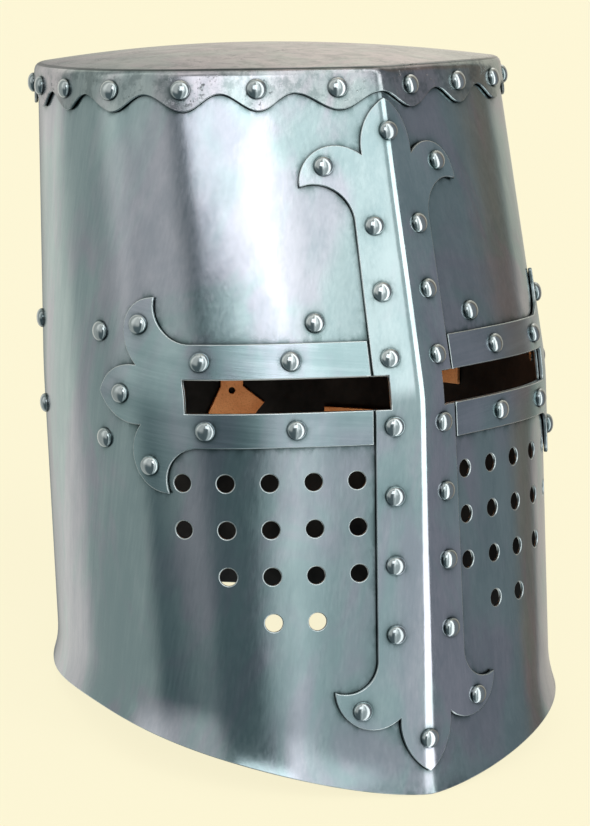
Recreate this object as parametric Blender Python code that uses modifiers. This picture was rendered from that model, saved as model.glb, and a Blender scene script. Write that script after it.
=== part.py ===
"""Great helm: a keeled steel wall, a domed crown plate with a scalloped skirt, a riveted cross of
a vertical bar and two arms round the eye slits, breath holes, and a leather liner band.

Metres, +Z up. The front faces -Y. Every sheet is laid out flat, cut there, and then bent round the
helm, so that the sheets follow one another: s is the distance along the wall from the front keel,
z the height above the keel's bottom tip with the crown level, and depth the distance outwards from
the outer face of the wall. The finished helm is leant back to stand on its lower edge.
"""

import math

import bmesh
import bpy
from mathutils import Matrix, Vector

MM = 0.001

# Heights above the keel's bottom tip
WALL_TOP = 317.5 * MM
BROW = 178 * MM

# Plan of the wall at three heights: keel, widest half width, where it is widest, back
TOP_KEEL = 91.6 * MM
TOP_HALF_WIDTH = 106.4 * MM
TOP_WIDEST = 1 * MM
TOP_BACK = 121.8 * MM
BROW_KEEL = 125 * MM
BROW_HALF_WIDTH = 113 * MM
BROW_WIDEST = 22 * MM
BROW_BACK = 122.5 * MM
FOOT_KEEL = 128 * MM
FOOT_HALF_WIDTH = 109.7 * MM
FOOT_WIDEST = 33 * MM
FOOT_BACK = 119 * MM
KEEL_LEAVE_TOP = math.radians(21.8)
KEEL_LEAVE_BROW = math.radians(20.4)
KEEL_LEAVE_FOOT = math.radians(9.4)

# Lower edge: it stands on the keel and on the back, and arches up over the shoulders
RIM_SLOPE = 0.204
RIM_ARCH = 17 * MM
RIM_ARCH_REACH = 270 * MM
RIM_ARCH_POWER = 1.7
RIM_FLARE = 3.2 * MM

# Sheets
WALL_SHEET = 1.5 * MM
PLATE_SHEET = 1.8 * MM
CROWN_SHEET = 1.5 * MM
LEATHER = 2 * MM
GAP = 0.3 * MM
BAR_TO_ARM = 0.8 * MM

# Crown plate: its flat sheet runs on past the wall's top and turns in as far as CROWN_TURN
CROWN_RISE = 8 * MM
CROWN_TURN = TOP_HALF_WIDTH
SKIRT_DEPTH = 16.5 * MM
SCALLOP_RISE = 7.5 * MM
SCALLOP_LOBE = WALL_TOP - SKIRT_DEPTH
SCALLOP_CUSP = SCALLOP_LOBE + SCALLOP_RISE
FRONT_SCALLOP = 39 * MM
SCALLOPS_EACH_SIDE = 10
CROWN_RIVET_DROP = 7 * MM
CROWN_RIVET_HEIGHT = WALL_TOP - CROWN_RIVET_DROP

# Eye slits
SLIT_DROP = 6 * MM
SLIT_TALL = 14.3 * MM
SLIT_START = 14 * MM
SLIT_LONG = 90 * MM
SLIT_LOW = BROW - SLIT_DROP
SLIT_HIGH = SLIT_LOW + SLIT_TALL
SLIT_END = SLIT_START + SLIT_LONG

# Vertical bar
BAR_TOP_INSET = 11.8 * MM
BAR_TOP_TIP = WALL_TOP - BAR_TOP_INSET
BAR_LOW_TIP = 10.3 * MM
BAR_HALF_WIDTH_HIGH = 19.8 * MM
BAR_HALF_WIDTH_LOW = 22.8 * MM
BAR_RIVET_INSET = 8.4 * MM
BAR_RIVETS_ABOVE = 3
BAR_RIVETS_BELOW = 4
BAR_RIVET_OFF_NECK_HIGH = 3.1 * MM
BAR_RIVET_OFF_NECK_LOW = 10.1 * MM
RIVET_OFF_SLIT = 7.5 * MM

# Arms of the cross
ARM_HALF_HEIGHT = 22.4 * MM
ARM_TIP = 150 * MM
ARM_RIVET_NEAR = 56 * MM
ARM_RIVET_FAR = 95.3 * MM

# Fleur ends of the bar and the arms, measured from the tip
FLEUR_CUSP_OUT = 13 * MM
FLEUR_CUSP_DEPTH = 24.4 * MM
FLEUR_LOBE_OUT = 42.5 * MM
FLEUR_LOBE_DEPTH = 38 * MM
FLEUR_NECK_DEPTH = 52 * MM
FLEUR_PETAL_BULGE = 4 * MM
FLEUR_LOBE_BULGE = 10.5 * MM
FLEUR_NECK_BULGE = 6.8 * MM
FLEUR_RIVET_OUT = 30.5 * MM
FLEUR_RIVET_DEPTH = 29 * MM
FLEUR_TIP_RIVET_DEPTH = 14.4 * MM

# Breath holes below each slit
BREATH_DIAMETER = 7.8 * MM
BREATH_FIRST = 29.6 * MM
BREATH_PITCH = 19.3 * MM
BREATH_BELOW_SLIT = 30.6 * MM
BREATH_TOP_ROW = SLIT_LOW - BREATH_BELOW_SLIT
BREATH_ROW_PITCH = 20.5 * MM
BREATH_ROWS = ((0, 5), (0, 5), (0, 4), (1, 3))

# Rivets
RIVET_HEAD = 9 * MM
RIVET_RISE = 3.2 * MM
RIVET_SHANK = 3 * MM
RIVET_HOLE = 4.6 * MM
RIVET_TAIL = 0.8 * MM
RIVET_SIDES = 7
RIVET_SINK = 0.6 * MM

# Liner band and its rivets
LINER_FRONT = 32 * MM
LINER_REAR = 200 * MM
LINER_ABOVE_SLIT = 28.7 * MM
LINER_STRIP_TALL = 15 * MM
LINER_REAR_TALL = 57 * MM
LINER_TOP = SLIT_HIGH + LINER_ABOVE_SLIT
LINER_STRIP_LOW = LINER_TOP - LINER_STRIP_TALL
LINER_REAR_LOW = LINER_TOP - LINER_REAR_TALL
LINER_RIVET_FRONT = (LINER_FRONT + 11 * MM, LINER_TOP - 5 * MM)
LINER_RIVET_SIDE = (ARM_TIP - 3 * MM, LINER_TOP - 10 * MM)
LINER_RIVET_REAR = (LINER_REAR + 32 * MM, LINER_TOP - 13 * MM)
LINER_RIVET_REAR_LOW = (LINER_REAR + 32 * MM, LINER_REAR_LOW + 5 * MM)
WALL_RIVET_SIDE_LOW = (ARM_TIP, LINER_REAR_LOW)
STRAP_LONG = 69 * MM
STRAP_DROP = 38 * MM
STRAP_TALL = 21 * MM
STRAP_ROOT = 29 * MM
STRAP_START = LINER_REAR + 14 * MM
STRAP_ROOT_END = STRAP_START + STRAP_ROOT
STRAP_END = STRAP_START + STRAP_LONG
STRAP_LOW = LINER_REAR_LOW - STRAP_DROP
STRAP_TOP = STRAP_LOW + STRAP_TALL
TONGUE_LONG = 28 * MM
TONGUE_LOW = LINER_REAR_LOW - TONGUE_LONG
TONGUE_FROM_BACK = 38 * MM
TONGUE_NECK = 12 * MM
TONGUE_HALF_WIDTH = 17 * MM
LACE_HOLE = 3.4 * MM

# Columns of facets round each half, and rows up the wall
FRONT_COLUMNS = 12
BACK_COLUMNS = 9
FLARE_SHARES = (0, 0.06, 0.13)
CROWN_RING_SHARES = (1, 0.7, 0.35, 0)
HOLE_SIDES = 6
BREATH_SIDES = 8

# Shares of a Bezier quarter's sides that its handles take
KEEL_HANDLE = 0.70
FRONT_SIDE_HANDLE = 0.61
ROUND_HANDLE = 0.56

STEEL = (0.42, 0.49, 0.52, 1)
HIDE = (0.42, 0.17, 0.06, 1)


def clear_scene():
    for obj in list(bpy.data.objects):
        bpy.data.objects.remove(obj)


def mixed(low, high, share):
    return low + (high - low) * share


def bezier(points, t):
    a, b, c, d = points
    return a * (1 - t) ** 3 + b * 3 * t * (1 - t) ** 2 + c * 3 * t * t * (1 - t) + d * t**3


def quarter_points(keel, leave, half_width, widest, back):
    """Plan points of half a section from the keel round to the middle of the back."""
    leaving = Vector((math.cos(leave), math.sin(leave))) * half_width * KEEL_HANDLE
    start = Vector((0, -keel))
    side = Vector((half_width, -widest))
    end = Vector((0, back))
    front = (start, start + leaving, side - Vector((0, FRONT_SIDE_HANDLE * (keel - widest))), side)
    rear_handle = Vector((0, ROUND_HANDLE * (back + widest)))
    rear = (side, side + rear_handle, end + Vector((ROUND_HANDLE * half_width, 0)), end)
    points = [bezier(front, i / FRONT_COLUMNS) for i in range(FRONT_COLUMNS)]
    points += [bezier(rear, i / BACK_COLUMNS) for i in range(BACK_COLUMNS + 1)]
    return points


TOP_PLAN = quarter_points(TOP_KEEL, KEEL_LEAVE_TOP, TOP_HALF_WIDTH, TOP_WIDEST, TOP_BACK)
BROW_PLAN = quarter_points(BROW_KEEL, KEEL_LEAVE_BROW, BROW_HALF_WIDTH, BROW_WIDEST, BROW_BACK)
FOOT_PLAN = quarter_points(FOOT_KEEL, KEEL_LEAVE_FOOT, FOOT_HALF_WIDTH, FOOT_WIDEST, FOOT_BACK)
COLUMNS = len(TOP_PLAN)


def plan(z):
    """Plan points of the half section at height z: straight columns run between the three plans."""
    if z >= BROW:
        low, high, share = BROW_PLAN, TOP_PLAN, (z - BROW) / (WALL_TOP - BROW)
    else:
        low, high, share = FOOT_PLAN, BROW_PLAN, z / BROW
    return [mixed(a, b, share) for a, b in zip(low, high)]


def lengths(points):
    """Running length along a polyline."""
    run = [0]
    for a, b in zip(points, points[1:]):
        run.append(run[-1] + (b - a).length)
    return run


def along(value, knots, results):
    """Linear interpolation, carried on past either end."""
    i = 0
    while i < len(knots) - 2 and value > knots[i + 1]:
        i += 1
    return mixed(results[i], results[i + 1], (value - knots[i]) / (knots[i + 1] - knots[i]))


FLAT_X = lengths(BROW_PLAN)


def flat_x(s, z):
    """Flat-sheet coordinate of a point s along the wall from the keel at height z."""
    return math.copysign(along(abs(s), lengths(plan(z)), FLAT_X), s)


def wall_length(z):
    return lengths(plan(z))[-1]


def rim_heights():
    """Height of the lower edge on each column: the standing plane plus the arch over the shoulder."""
    heights = []
    for i in range(COLUMNS):
        z = 0
        for _ in range(12):
            reach = min(lengths(plan(z))[i] / RIM_ARCH_REACH, 1)
            arch = RIM_ARCH * max(math.sin(math.pi * reach), 0) ** RIM_ARCH_POWER
            z = RIM_SLOPE * (plan(z)[i].y + FOOT_KEEL) + arch
        heights.append(z)
    return heights


def plan_normal(points, i):
    """Outward mitre direction at a column, long enough to keep the sheet's thickness."""
    before = points[i - 1] if i else Vector((-points[1].x, points[1].y))
    after = points[i + 1] if i < COLUMNS - 1 else Vector((-points[i - 1].x, points[i - 1].y))
    first = (points[i] - before).normalized()
    second = (after - points[i]).normalized()
    one, other = Vector((first.y, -first.x)), Vector((second.y, -second.x))
    middle = (one + other).normalized()
    return middle / middle.dot(one)


RIM = rim_heights()


def flare(i, z):
    """How far the wall stands out near its lower edge."""
    share = (z - RIM[i]) / (BROW - RIM[i])
    heights = [(1 - knot / FLARE_SHARES[-1]) ** 2 * RIM_FLARE for knot in FLARE_SHARES]
    return 0 if share > FLARE_SHARES[-1] else along(share, FLARE_SHARES, heights)


def column_point(i, z, depth):
    """The bent place of a point on column i, depth outside the wall's outer face."""
    points = plan(z)
    normal = plan_normal(points, i)
    upper = (TOP_PLAN[i] - BROW_PLAN[i]) / (WALL_TOP - BROW)
    lower = (BROW_PLAN[i] - FOOT_PLAN[i]) / BROW
    flare_top = mixed(RIM[i], BROW, FLARE_SHARES[-1])
    if z < flare_top:
        share = max((z - RIM[i]) / (flare_top - RIM[i]), 0)
        lean = mixed(RIM_SLOPE * normal.y, -normal.dot(lower), share)
    else:
        share = min(max((z - SLIT_LOW) / (SLIT_HIGH - SLIT_LOW), 0), 1)
        lean = mixed(-normal.dot(lower), -normal.dot(upper), share)
    length = 1 if z < flare_top else math.sqrt(1 + lean * lean)
    outward = Vector((normal.x, normal.y, lean)) / length
    spread = Vector((normal.x, normal.y, RIM_SLOPE * normal.y)) * flare(i, z)
    return Vector((points[i].x, points[i].y, z)) + spread + outward * depth


def bent(x, depth, z):
    """The bent place of a flat-sheet point."""
    side = math.copysign(1, x)
    x = min(abs(x), FLAT_X[-1])
    i = 0
    while i < COLUMNS - 2 and x > FLAT_X[i + 1]:
        i += 1
    share = (x - FLAT_X[i]) / (FLAT_X[i + 1] - FLAT_X[i])
    place = mixed(column_point(i, z, depth), column_point(i + 1, z, depth), share)
    return Vector((side * place.x, place.y, place.z))


def crown_point(x, depth, z):
    """As bent(), but past the wall's top the sheet turns in over the crown towards its middle."""
    if z <= WALL_TOP - GAP:
        return bent(x, depth, z)
    corner = bent(x, 0, WALL_TOP)
    out = bent(x, depth, WALL_TOP) - corner
    middle = Vector((0, (TOP_BACK - TOP_KEEL) / 2, WALL_TOP))
    inward = min((z - WALL_TOP) / CROWN_TURN, 1)
    out *= 1 - inward
    place = mixed(corner, middle, inward)
    return place + Vector((out.x, out.y, depth + CROWN_RISE * (1 - (1 - inward) ** 2)))


def arc(start, end, bulge, steps):
    """Points after start up to end, on an arc that stands bulge to the right of the chord."""
    chord = end - start
    side = Vector((chord.y, -chord.x)).normalized() * math.copysign(1, bulge)
    half = chord.length / 2
    radius = (half * half + bulge * bulge) / (2 * abs(bulge))
    turn = 2 * math.atan2(abs(bulge), half)
    centre = (start + end) / 2 + side * (abs(bulge) - radius)
    points = []
    for k in range(1, steps):
        angle = mixed(-turn, turn, k / steps)
        forward = chord.normalized() * math.sin(angle)
        points.append(centre + (forward + side * math.cos(angle)) * radius)
    return points + [end]


def fleur_half(neck_half_width):
    """Half a fleur end from its tip to its neck, as (out from the middle, depth from the tip)."""
    tip = Vector((0, 0))
    cusp = Vector((FLEUR_CUSP_OUT, FLEUR_CUSP_DEPTH))
    lobe = Vector((FLEUR_LOBE_OUT, FLEUR_LOBE_DEPTH))
    neck = Vector((neck_half_width, FLEUR_NECK_DEPTH))
    points = [tip]
    points += arc(tip, cusp, FLEUR_PETAL_BULGE, 3)
    points += arc(cusp, lobe, FLEUR_LOBE_BULGE, 5)
    points += arc(lobe, neck, -FLEUR_NECK_BULGE, 4)
    return points


def bar_half_width(z):
    return along(z, (BAR_LOW_TIP + FLEUR_NECK_DEPTH, BAR_TOP_TIP - FLEUR_NECK_DEPTH),
                 (BAR_HALF_WIDTH_LOW, BAR_HALF_WIDTH_HIGH))


def flat_prism(name, outline, depth=10 * MM):
    """A cutter through the flat sheets, from an outline of (s, z) points."""
    mesh = bpy.data.meshes.new(name)
    bm = bmesh.new()
    ring = [bm.verts.new((flat_x(s, z), -depth, z)) for s, z in outline]
    face = bm.faces.new(ring)
    swept = bmesh.ops.extrude_face_region(bm, geom=[face])
    moved = [v for v in swept["geom"] if isinstance(v, bmesh.types.BMVert)]
    bmesh.ops.translate(bm, verts=moved, vec=(0, 2 * depth, 0))
    bmesh.ops.recalc_face_normals(bm, faces=bm.faces)
    bm.to_mesh(mesh)
    bm.free()
    return mesh


def joined_prisms(name, outlines):
    """One cutter object that holds a prism for each outline."""
    bm = bmesh.new()
    for outline in outlines:
        part = flat_prism(name, outline)
        bm.from_mesh(part)
        bpy.data.meshes.remove(part)
    mesh = bpy.data.meshes.new(name)
    bm.to_mesh(mesh)
    bm.free()
    cutter = bpy.data.objects.new(name, mesh)
    bpy.context.scene.collection.objects.link(cutter)
    return cutter


def circle(s, z, diameter, sides):
    """A round hole's outline, with flats turned to the sheet's columns."""
    turn = [2 * math.pi * (k + 0.5) / sides for k in range(sides)]
    return [(s + diameter / 2 * math.cos(a), z + diameter / 2 * math.sin(a)) for a in turn]


def wall_rows(i):
    """Heights of the facet rows on column i, from the lower edge to the top of the wall."""
    return [mixed(RIM[i], BROW, share) for share in FLARE_SHARES] + [BROW, WALL_TOP]


def flat_sheet(name, rows, inner, outer):
    """A flat half sheet from the keel to the middle of the back, as a solid of facets."""
    bm = bmesh.new()
    grid = [[bm.verts.new((FLAT_X[i], -outer, z)) for z in rows(i)] for i in range(COLUMNS)]
    faces = []
    for one, other in zip(grid, grid[1:]):
        for a, b, c, d in zip(one, other, other[1:], one[1:]):
            faces.append(bm.faces.new((a, b, c, d)))
    swept = bmesh.ops.extrude_face_region(bm, geom=faces)
    moved = [v for v in swept["geom"] if isinstance(v, bmesh.types.BMVert)]
    bmesh.ops.translate(bm, verts=moved, vec=(0, outer - inner, 0))
    bmesh.ops.recalc_face_normals(bm, faces=bm.faces)
    mesh = bpy.data.meshes.new(name)
    bm.to_mesh(mesh)
    bm.free()
    sheet = bpy.data.objects.new(name, mesh)
    bpy.context.scene.collection.objects.link(sheet)
    return sheet


def cut(obj, operation, cutter):
    """Applies one exact Boolean and removes the cutter."""
    step = obj.modifiers.new(cutter.name, "BOOLEAN")
    step.operation = operation
    step.object = cutter
    graph = bpy.context.evaluated_depsgraph_get()
    result = bpy.data.meshes.new_from_object(obj.evaluated_get(graph))
    old = obj.data
    obj.modifiers.clear()
    obj.data = result
    bpy.data.meshes.remove(old)
    bpy.data.objects.remove(cutter)


def bend(sheet, shape=bent, whole=False):
    """Bends a flat sheet round the helm. A half sheet is left open where its mirror meets it."""
    bm = bmesh.new()
    bm.from_mesh(sheet.data)
    bmesh.ops.triangulate(bm, faces=bm.faces)
    if not whole:
        ends = (0, FLAT_X[-1])
        on_end = [f for f in bm.faces if any(all(abs(v.co.x - x) < 1e-7 for v in f.verts) for x in ends)]
        bmesh.ops.delete(bm, geom=on_end, context="FACES")
    pole = [f for f in bm.faces if all(v.co.z > WALL_TOP + CROWN_TURN - 1e-6 for v in f.verts)]
    bmesh.ops.delete(bm, geom=pole, context="FACES")
    for v in bm.verts:
        v.co = shape(v.co.x, -v.co.y, v.co.z)
        if abs(v.co.x) < 1e-7:
            v.co.x = 0
    bmesh.ops.remove_doubles(bm, verts=bm.verts, dist=2e-6)
    bm.to_mesh(sheet.data)
    bm.free()


def mirrored(sheet):
    mirror = sheet.modifiers.new("Mirror", "MIRROR")
    mirror.merge_threshold = 0.00001


def material(name, colour, metallic, roughness):
    made = bpy.data.materials.new(name)
    made.use_nodes = True
    shader = made.node_tree.nodes["Principled BSDF"]
    shader.inputs["Base Color"].default_value = colour
    shader.inputs["Metallic"].default_value = metallic
    shader.inputs["Roughness"].default_value = roughness
    return made


def finish(obj, collection, frame, surface):
    """Files a finished piece under the helm's collection and its standing frame."""
    for old in list(obj.users_collection):
        old.objects.unlink(obj)
    collection.objects.link(obj)
    obj.parent = frame
    obj.data.materials.clear()
    obj.data.materials.append(surface)


def evenly(first, last, count):
    return [mixed(first, last, k / (count - 1)) for k in range(count)]


def bar_rivets():
    """(s, z) of the rivets of the bar's right half: evenly above and below the slit, and on the fleurs."""
    high = BAR_TOP_TIP - FLEUR_NECK_DEPTH - BAR_RIVET_OFF_NECK_HIGH
    low = BAR_LOW_TIP + FLEUR_NECK_DEPTH + BAR_RIVET_OFF_NECK_LOW
    heights = evenly(SLIT_HIGH + RIVET_OFF_SLIT, high, BAR_RIVETS_ABOVE)
    heights += evenly(SLIT_LOW - RIVET_OFF_SLIT, low, BAR_RIVETS_BELOW)
    places = [(bar_half_width(z) - BAR_RIVET_INSET, z) for z in heights]
    places.append((FLEUR_RIVET_OUT, BAR_TOP_TIP - FLEUR_RIVET_DEPTH))
    places.append((FLEUR_RIVET_OUT, BAR_LOW_TIP + FLEUR_RIVET_DEPTH))
    return places


def keel_rivets():
    return [(0, BAR_TOP_TIP - FLEUR_TIP_RIVET_DEPTH), (0, BAR_LOW_TIP + FLEUR_TIP_RIVET_DEPTH)]


def arm_rivets():
    middle = (SLIT_LOW + SLIT_HIGH) / 2
    off = SLIT_HIGH - middle + RIVET_OFF_SLIT
    places = [(s, middle + side * off) for s in (ARM_RIVET_NEAR, ARM_RIVET_FAR) for side in (1, -1)]
    places += [(ARM_TIP - FLEUR_RIVET_DEPTH, middle + side * FLEUR_RIVET_OUT) for side in (1, -1)]
    places.append((ARM_TIP - FLEUR_TIP_RIVET_DEPTH, middle))
    return places


def liner_rivets():
    return [LINER_RIVET_FRONT, LINER_RIVET_SIDE, LINER_RIVET_REAR, LINER_RIVET_REAR_LOW]


def scallop_cusps():
    """Distances from the keel of the points between the skirt's scallops."""
    rest = (wall_length(SCALLOP_CUSP) - FRONT_SCALLOP) / (SCALLOPS_EACH_SIDE - 1)
    return [0] + [FRONT_SCALLOP + k * rest for k in range(SCALLOPS_EACH_SIDE)]


def crown_rivets():
    cusps = scallop_cusps()
    return [((a + b) / 2, CROWN_RIVET_HEIGHT) for a, b in zip(cusps, cusps[1:])]


def slit_outline():
    return [(SLIT_START, SLIT_LOW), (SLIT_END, SLIT_LOW), (SLIT_END, SLIT_HIGH), (SLIT_START, SLIT_HIGH)]


def rivet_holes(places):
    return [circle(s, z, RIVET_HOLE, HOLE_SIDES) for s, z in places]


def breath_holes():
    outlines = []
    for row, (first, stop) in enumerate(BREATH_ROWS):
        z = BREATH_TOP_ROW - row * BREATH_ROW_PITCH
        for k in range(first, stop):
            outlines.append(circle(BREATH_FIRST + k * BREATH_PITCH, z, BREATH_DIAMETER, BREATH_SIDES))
    return outlines


def make_wall():
    wall = flat_sheet("wall", wall_rows, -WALL_SHEET, 0)
    places = bar_rivets() + keel_rivets() + arm_rivets() + liner_rivets() + crown_rivets()
    places.append(WALL_RIVET_SIDE_LOW)
    cut(wall, "DIFFERENCE", joined_prisms("wall_holes", rivet_holes(places)))
    cut(wall, "DIFFERENCE", joined_prisms("openings", breath_holes() + [slit_outline()]))
    bend(wall)
    mirrored(wall)
    return wall


def plate_sheet(name):
    return flat_sheet(name, wall_rows, GAP, GAP + PLATE_SHEET)


def make_bar():
    bar = plate_sheet("cross_bar")
    top = [(p.x, BAR_TOP_TIP - p.y) for p in fleur_half(BAR_HALF_WIDTH_HIGH)]
    low = [(p.x, BAR_LOW_TIP + p.y) for p in fleur_half(BAR_HALF_WIDTH_LOW)]
    spare = [(-5 * MM, BAR_LOW_TIP), (-5 * MM, BAR_TOP_TIP)]
    cut(bar, "INTERSECT", joined_prisms("outline", [top + low[::-1] + spare]))
    cut(bar, "DIFFERENCE", joined_prisms("slit", [slit_outline()]))
    cut(bar, "DIFFERENCE", joined_prisms("holes", rivet_holes(bar_rivets() + keel_rivets())))
    bend(bar)
    mirrored(bar)
    return bar


def make_arm(name):
    """The right arm, which runs from the bar's edge to its fleur end."""
    arm = plate_sheet(name)
    middle = (SLIT_LOW + SLIT_HIGH) / 2
    end = fleur_half(ARM_HALF_HEIGHT)
    upper = [(ARM_TIP - p.y, middle + p.x) for p in end]
    lower = [(ARM_TIP - p.y, middle - p.x) for p in end[1:]]
    edge = [middle + ARM_HALF_HEIGHT, middle - ARM_HALF_HEIGHT]
    root = [(bar_half_width(z) + BAR_TO_ARM, z) for z in edge]
    cut(arm, "INTERSECT", joined_prisms("outline", [upper + root + lower[::-1]]))
    cut(arm, "DIFFERENCE", joined_prisms("slit", [slit_outline()]))
    cut(arm, "DIFFERENCE", joined_prisms("holes", rivet_holes(arm_rivets())))
    bend(arm, whole=True)
    return arm


def flip_across(obj):
    """Turns a right-hand piece into a left-hand one."""
    obj.data.transform(Matrix.Scale(-1, 4, (1, 0, 0)))
    obj.data.flip_normals()


def liner_outline():
    """Half the leather: a strip over the slits, a deeper band at the rear, a strap and a tongue."""
    back = wall_length(LINER_REAR_LOW)
    tongue = back - TONGUE_FROM_BACK
    neck = TONGUE_NECK / 2
    return [
        (LINER_FRONT, LINER_TOP),
        (LINER_FRONT, LINER_STRIP_LOW),
        (LINER_REAR, LINER_STRIP_LOW),
        (LINER_REAR, LINER_REAR_LOW),
        (STRAP_START, LINER_REAR_LOW),
        (STRAP_START, STRAP_LOW),
        (STRAP_END, STRAP_LOW),
        (STRAP_END, STRAP_TOP),
        (STRAP_ROOT_END, STRAP_TOP),
        (STRAP_ROOT_END, LINER_REAR_LOW),
        (tongue - neck, LINER_REAR_LOW),
        (tongue - neck, mixed(TONGUE_LOW, LINER_REAR_LOW, 0.75)),
        (tongue - TONGUE_HALF_WIDTH, mixed(TONGUE_LOW, LINER_REAR_LOW, 0.45)),
        (tongue - neck, TONGUE_LOW),
        (tongue + TONGUE_HALF_WIDTH, TONGUE_LOW),
        (tongue + neck, mixed(TONGUE_LOW, LINER_REAR_LOW, 0.75)),
        (tongue + neck, LINER_REAR_LOW),
        (back + 5 * MM, LINER_REAR_LOW),
        (back + 5 * MM, LINER_TOP),
    ]


def make_liner():
    top = -WALL_SHEET - GAP
    liner = flat_sheet("liner", wall_rows, top - LEATHER, top)
    tongue = wall_length(LINER_REAR_LOW) - TONGUE_FROM_BACK
    lace = circle(tongue, mixed(TONGUE_LOW, LINER_REAR_LOW, 0.68), LACE_HOLE, HOLE_SIDES)
    cut(liner, "INTERSECT", joined_prisms("outline", [liner_outline()]))
    crossed = [(s, z) for s, z in arm_rivets() if LINER_STRIP_LOW - RIVET_HOLE < z < LINER_TOP + RIVET_HOLE]
    cut(liner, "DIFFERENCE", joined_prisms("holes", rivet_holes(liner_rivets() + crossed) + [lace]))
    bend(liner)
    mirrored(liner)
    return liner


def crown_rows(i):
    """Rows of the crown's flat sheet: the skirt, the corner, then rings in to the middle."""
    skirt = [SCALLOP_LOBE - 2 * MM, WALL_TOP - GAP]
    return skirt + [WALL_TOP + (1 - share) * CROWN_TURN for share in CROWN_RING_SHARES]


def scallop_edge():
    """The skirt's lower edge from the keel to the middle of the back."""
    rise = SCALLOP_CUSP - SCALLOP_LOBE
    points = []
    cusps = scallop_cusps()
    for a, b in zip(cusps, cusps[1:]):
        for share in (0, 0.17, 0.36, 0.64, 0.83):
            wave = (1 + math.cos(2 * math.pi * share)) / 2
            points.append((mixed(a, b, share), SCALLOP_LOBE + rise * wave))
    return points + [(cusps[-1], SCALLOP_CUSP)]


def turned(name, profile, sides):
    """A closed turned mesh from a profile of (radius, height), run from the top down."""
    mesh = bpy.data.meshes.new(name)
    bm = bmesh.new()
    points = [bm.verts.new((radius, 0, height)) for radius, height in profile]
    for a, b in zip(points, points[1:]):
        bm.edges.new((a, b))
    bm.to_mesh(mesh)
    bm.free()
    obj = bpy.data.objects.new(name, mesh)
    bpy.context.scene.collection.objects.link(obj)
    screw = obj.modifiers.new("Screw", "SCREW")
    screw.steps = screw.render_steps = sides
    screw.use_merge_vertices = True
    screw.merge_threshold = 0.00001
    graph = bpy.context.evaluated_depsgraph_get()
    result = bpy.data.meshes.new_from_object(obj.evaluated_get(graph))
    bpy.data.objects.remove(obj)
    result.name = name
    return result


def rivet_mesh(name, grip):
    """A domed rivet with its head's base at height 0 and its tail past the grip below it."""
    head = RIVET_HEAD / 2
    shank = RIVET_SHANK / 2
    profile = [(0, RIVET_RISE), (head * 0.72, RIVET_RISE * 0.66), (head, 0), (shank, 0)]
    profile += [(shank, -grip - RIVET_TAIL), (0, -grip - RIVET_TAIL)]
    mesh = turned(name, profile, RIVET_SIDES)
    mesh.shade_smooth()
    mesh.set_sharp_from_angle(angle=math.radians(40))
    return mesh


def seat(s, z, depth):
    """The frame of a rivet on a sheet: its head's base lies just clear of the facets under it."""
    reach = RIVET_HEAD / 2

    def spot(ds, dz):
        return bent(flat_x(s + ds, z + dz), depth, z + dz)

    centre = spot(0, 0)
    across = spot(reach, 0) - spot(-reach, 0)
    up = spot(0, reach) - spot(0, -reach)
    normal = across.cross(up).normalized()
    ring = [2 * math.pi * k / 16 for k in range(16)]
    heights = [(spot(reach * math.cos(a), reach * math.sin(a)) - centre).dot(normal) for a in ring]
    lift = max([0] + heights) + GAP
    across.normalize()
    turn = Matrix((across, normal.cross(across), normal)).transposed().to_4x4()
    return Matrix.Translation(centre + normal * lift) @ turn


def place_rivets(name, mesh, places, depth, both_sides=True):
    """Rivets on the right half, each with its twin across the keel."""
    made = []
    for number, (s, z) in enumerate(places, 1):
        sides = (("right", 1), ("left", -1)) if both_sides else (("keel", 1),)
        for label, side in sides:
            obj = bpy.data.objects.new(f"{name}_{label}_{number}", mesh)
            bpy.context.scene.collection.objects.link(obj)
            obj.matrix_world = seat(side * s, z, depth)
            made.append(obj)
    return made


def make_crown():
    """The crown plate with its skirt, and the rivets that are headed over on it."""
    crown = flat_sheet("crown", crown_rows, GAP, GAP + CROWN_SHEET)
    below = SCALLOP_LOBE - 4 * MM
    past_back = wall_length(SCALLOP_CUSP) + 10 * MM
    waste = [(-10 * MM, SCALLOP_CUSP)] + scallop_edge()
    waste += [(past_back, SCALLOP_CUSP), (past_back, below), (-10 * MM, below)]
    cut(crown, "DIFFERENCE", joined_prisms("waste", [waste]))
    bend(crown, crown_point)
    mirrored(crown)
    grip = CROWN_SHEET + GAP + WALL_SHEET + RIVET_SINK
    mesh = rivet_mesh("crown_rivet", grip)
    for rivet in place_rivets("crown_rivet", mesh, crown_rivets(), GAP + CROWN_SHEET - RIVET_SINK):
        cut(crown, "UNION", rivet)
    return crown


def stand(frame, nodes):
    """Leans the helm back onto its lower edge and sets the origin under its middle."""
    frame.rotation_euler.x = -math.atan(RIM_SLOPE)
    bpy.context.view_layer.update()
    graph = bpy.context.evaluated_depsgraph_get()
    corners = []
    for obj in nodes:
        shown = obj.evaluated_get(graph)
        corners += [shown.matrix_world @ v.co for v in shown.data.vertices]
    low = Vector([min(c[k] for c in corners) for k in range(3)])
    high = Vector([max(c[k] for c in corners) for k in range(3)])
    frame.location = (0, -(low.y + high.y) / 2, -low.z)
    bpy.context.view_layer.update()


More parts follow.
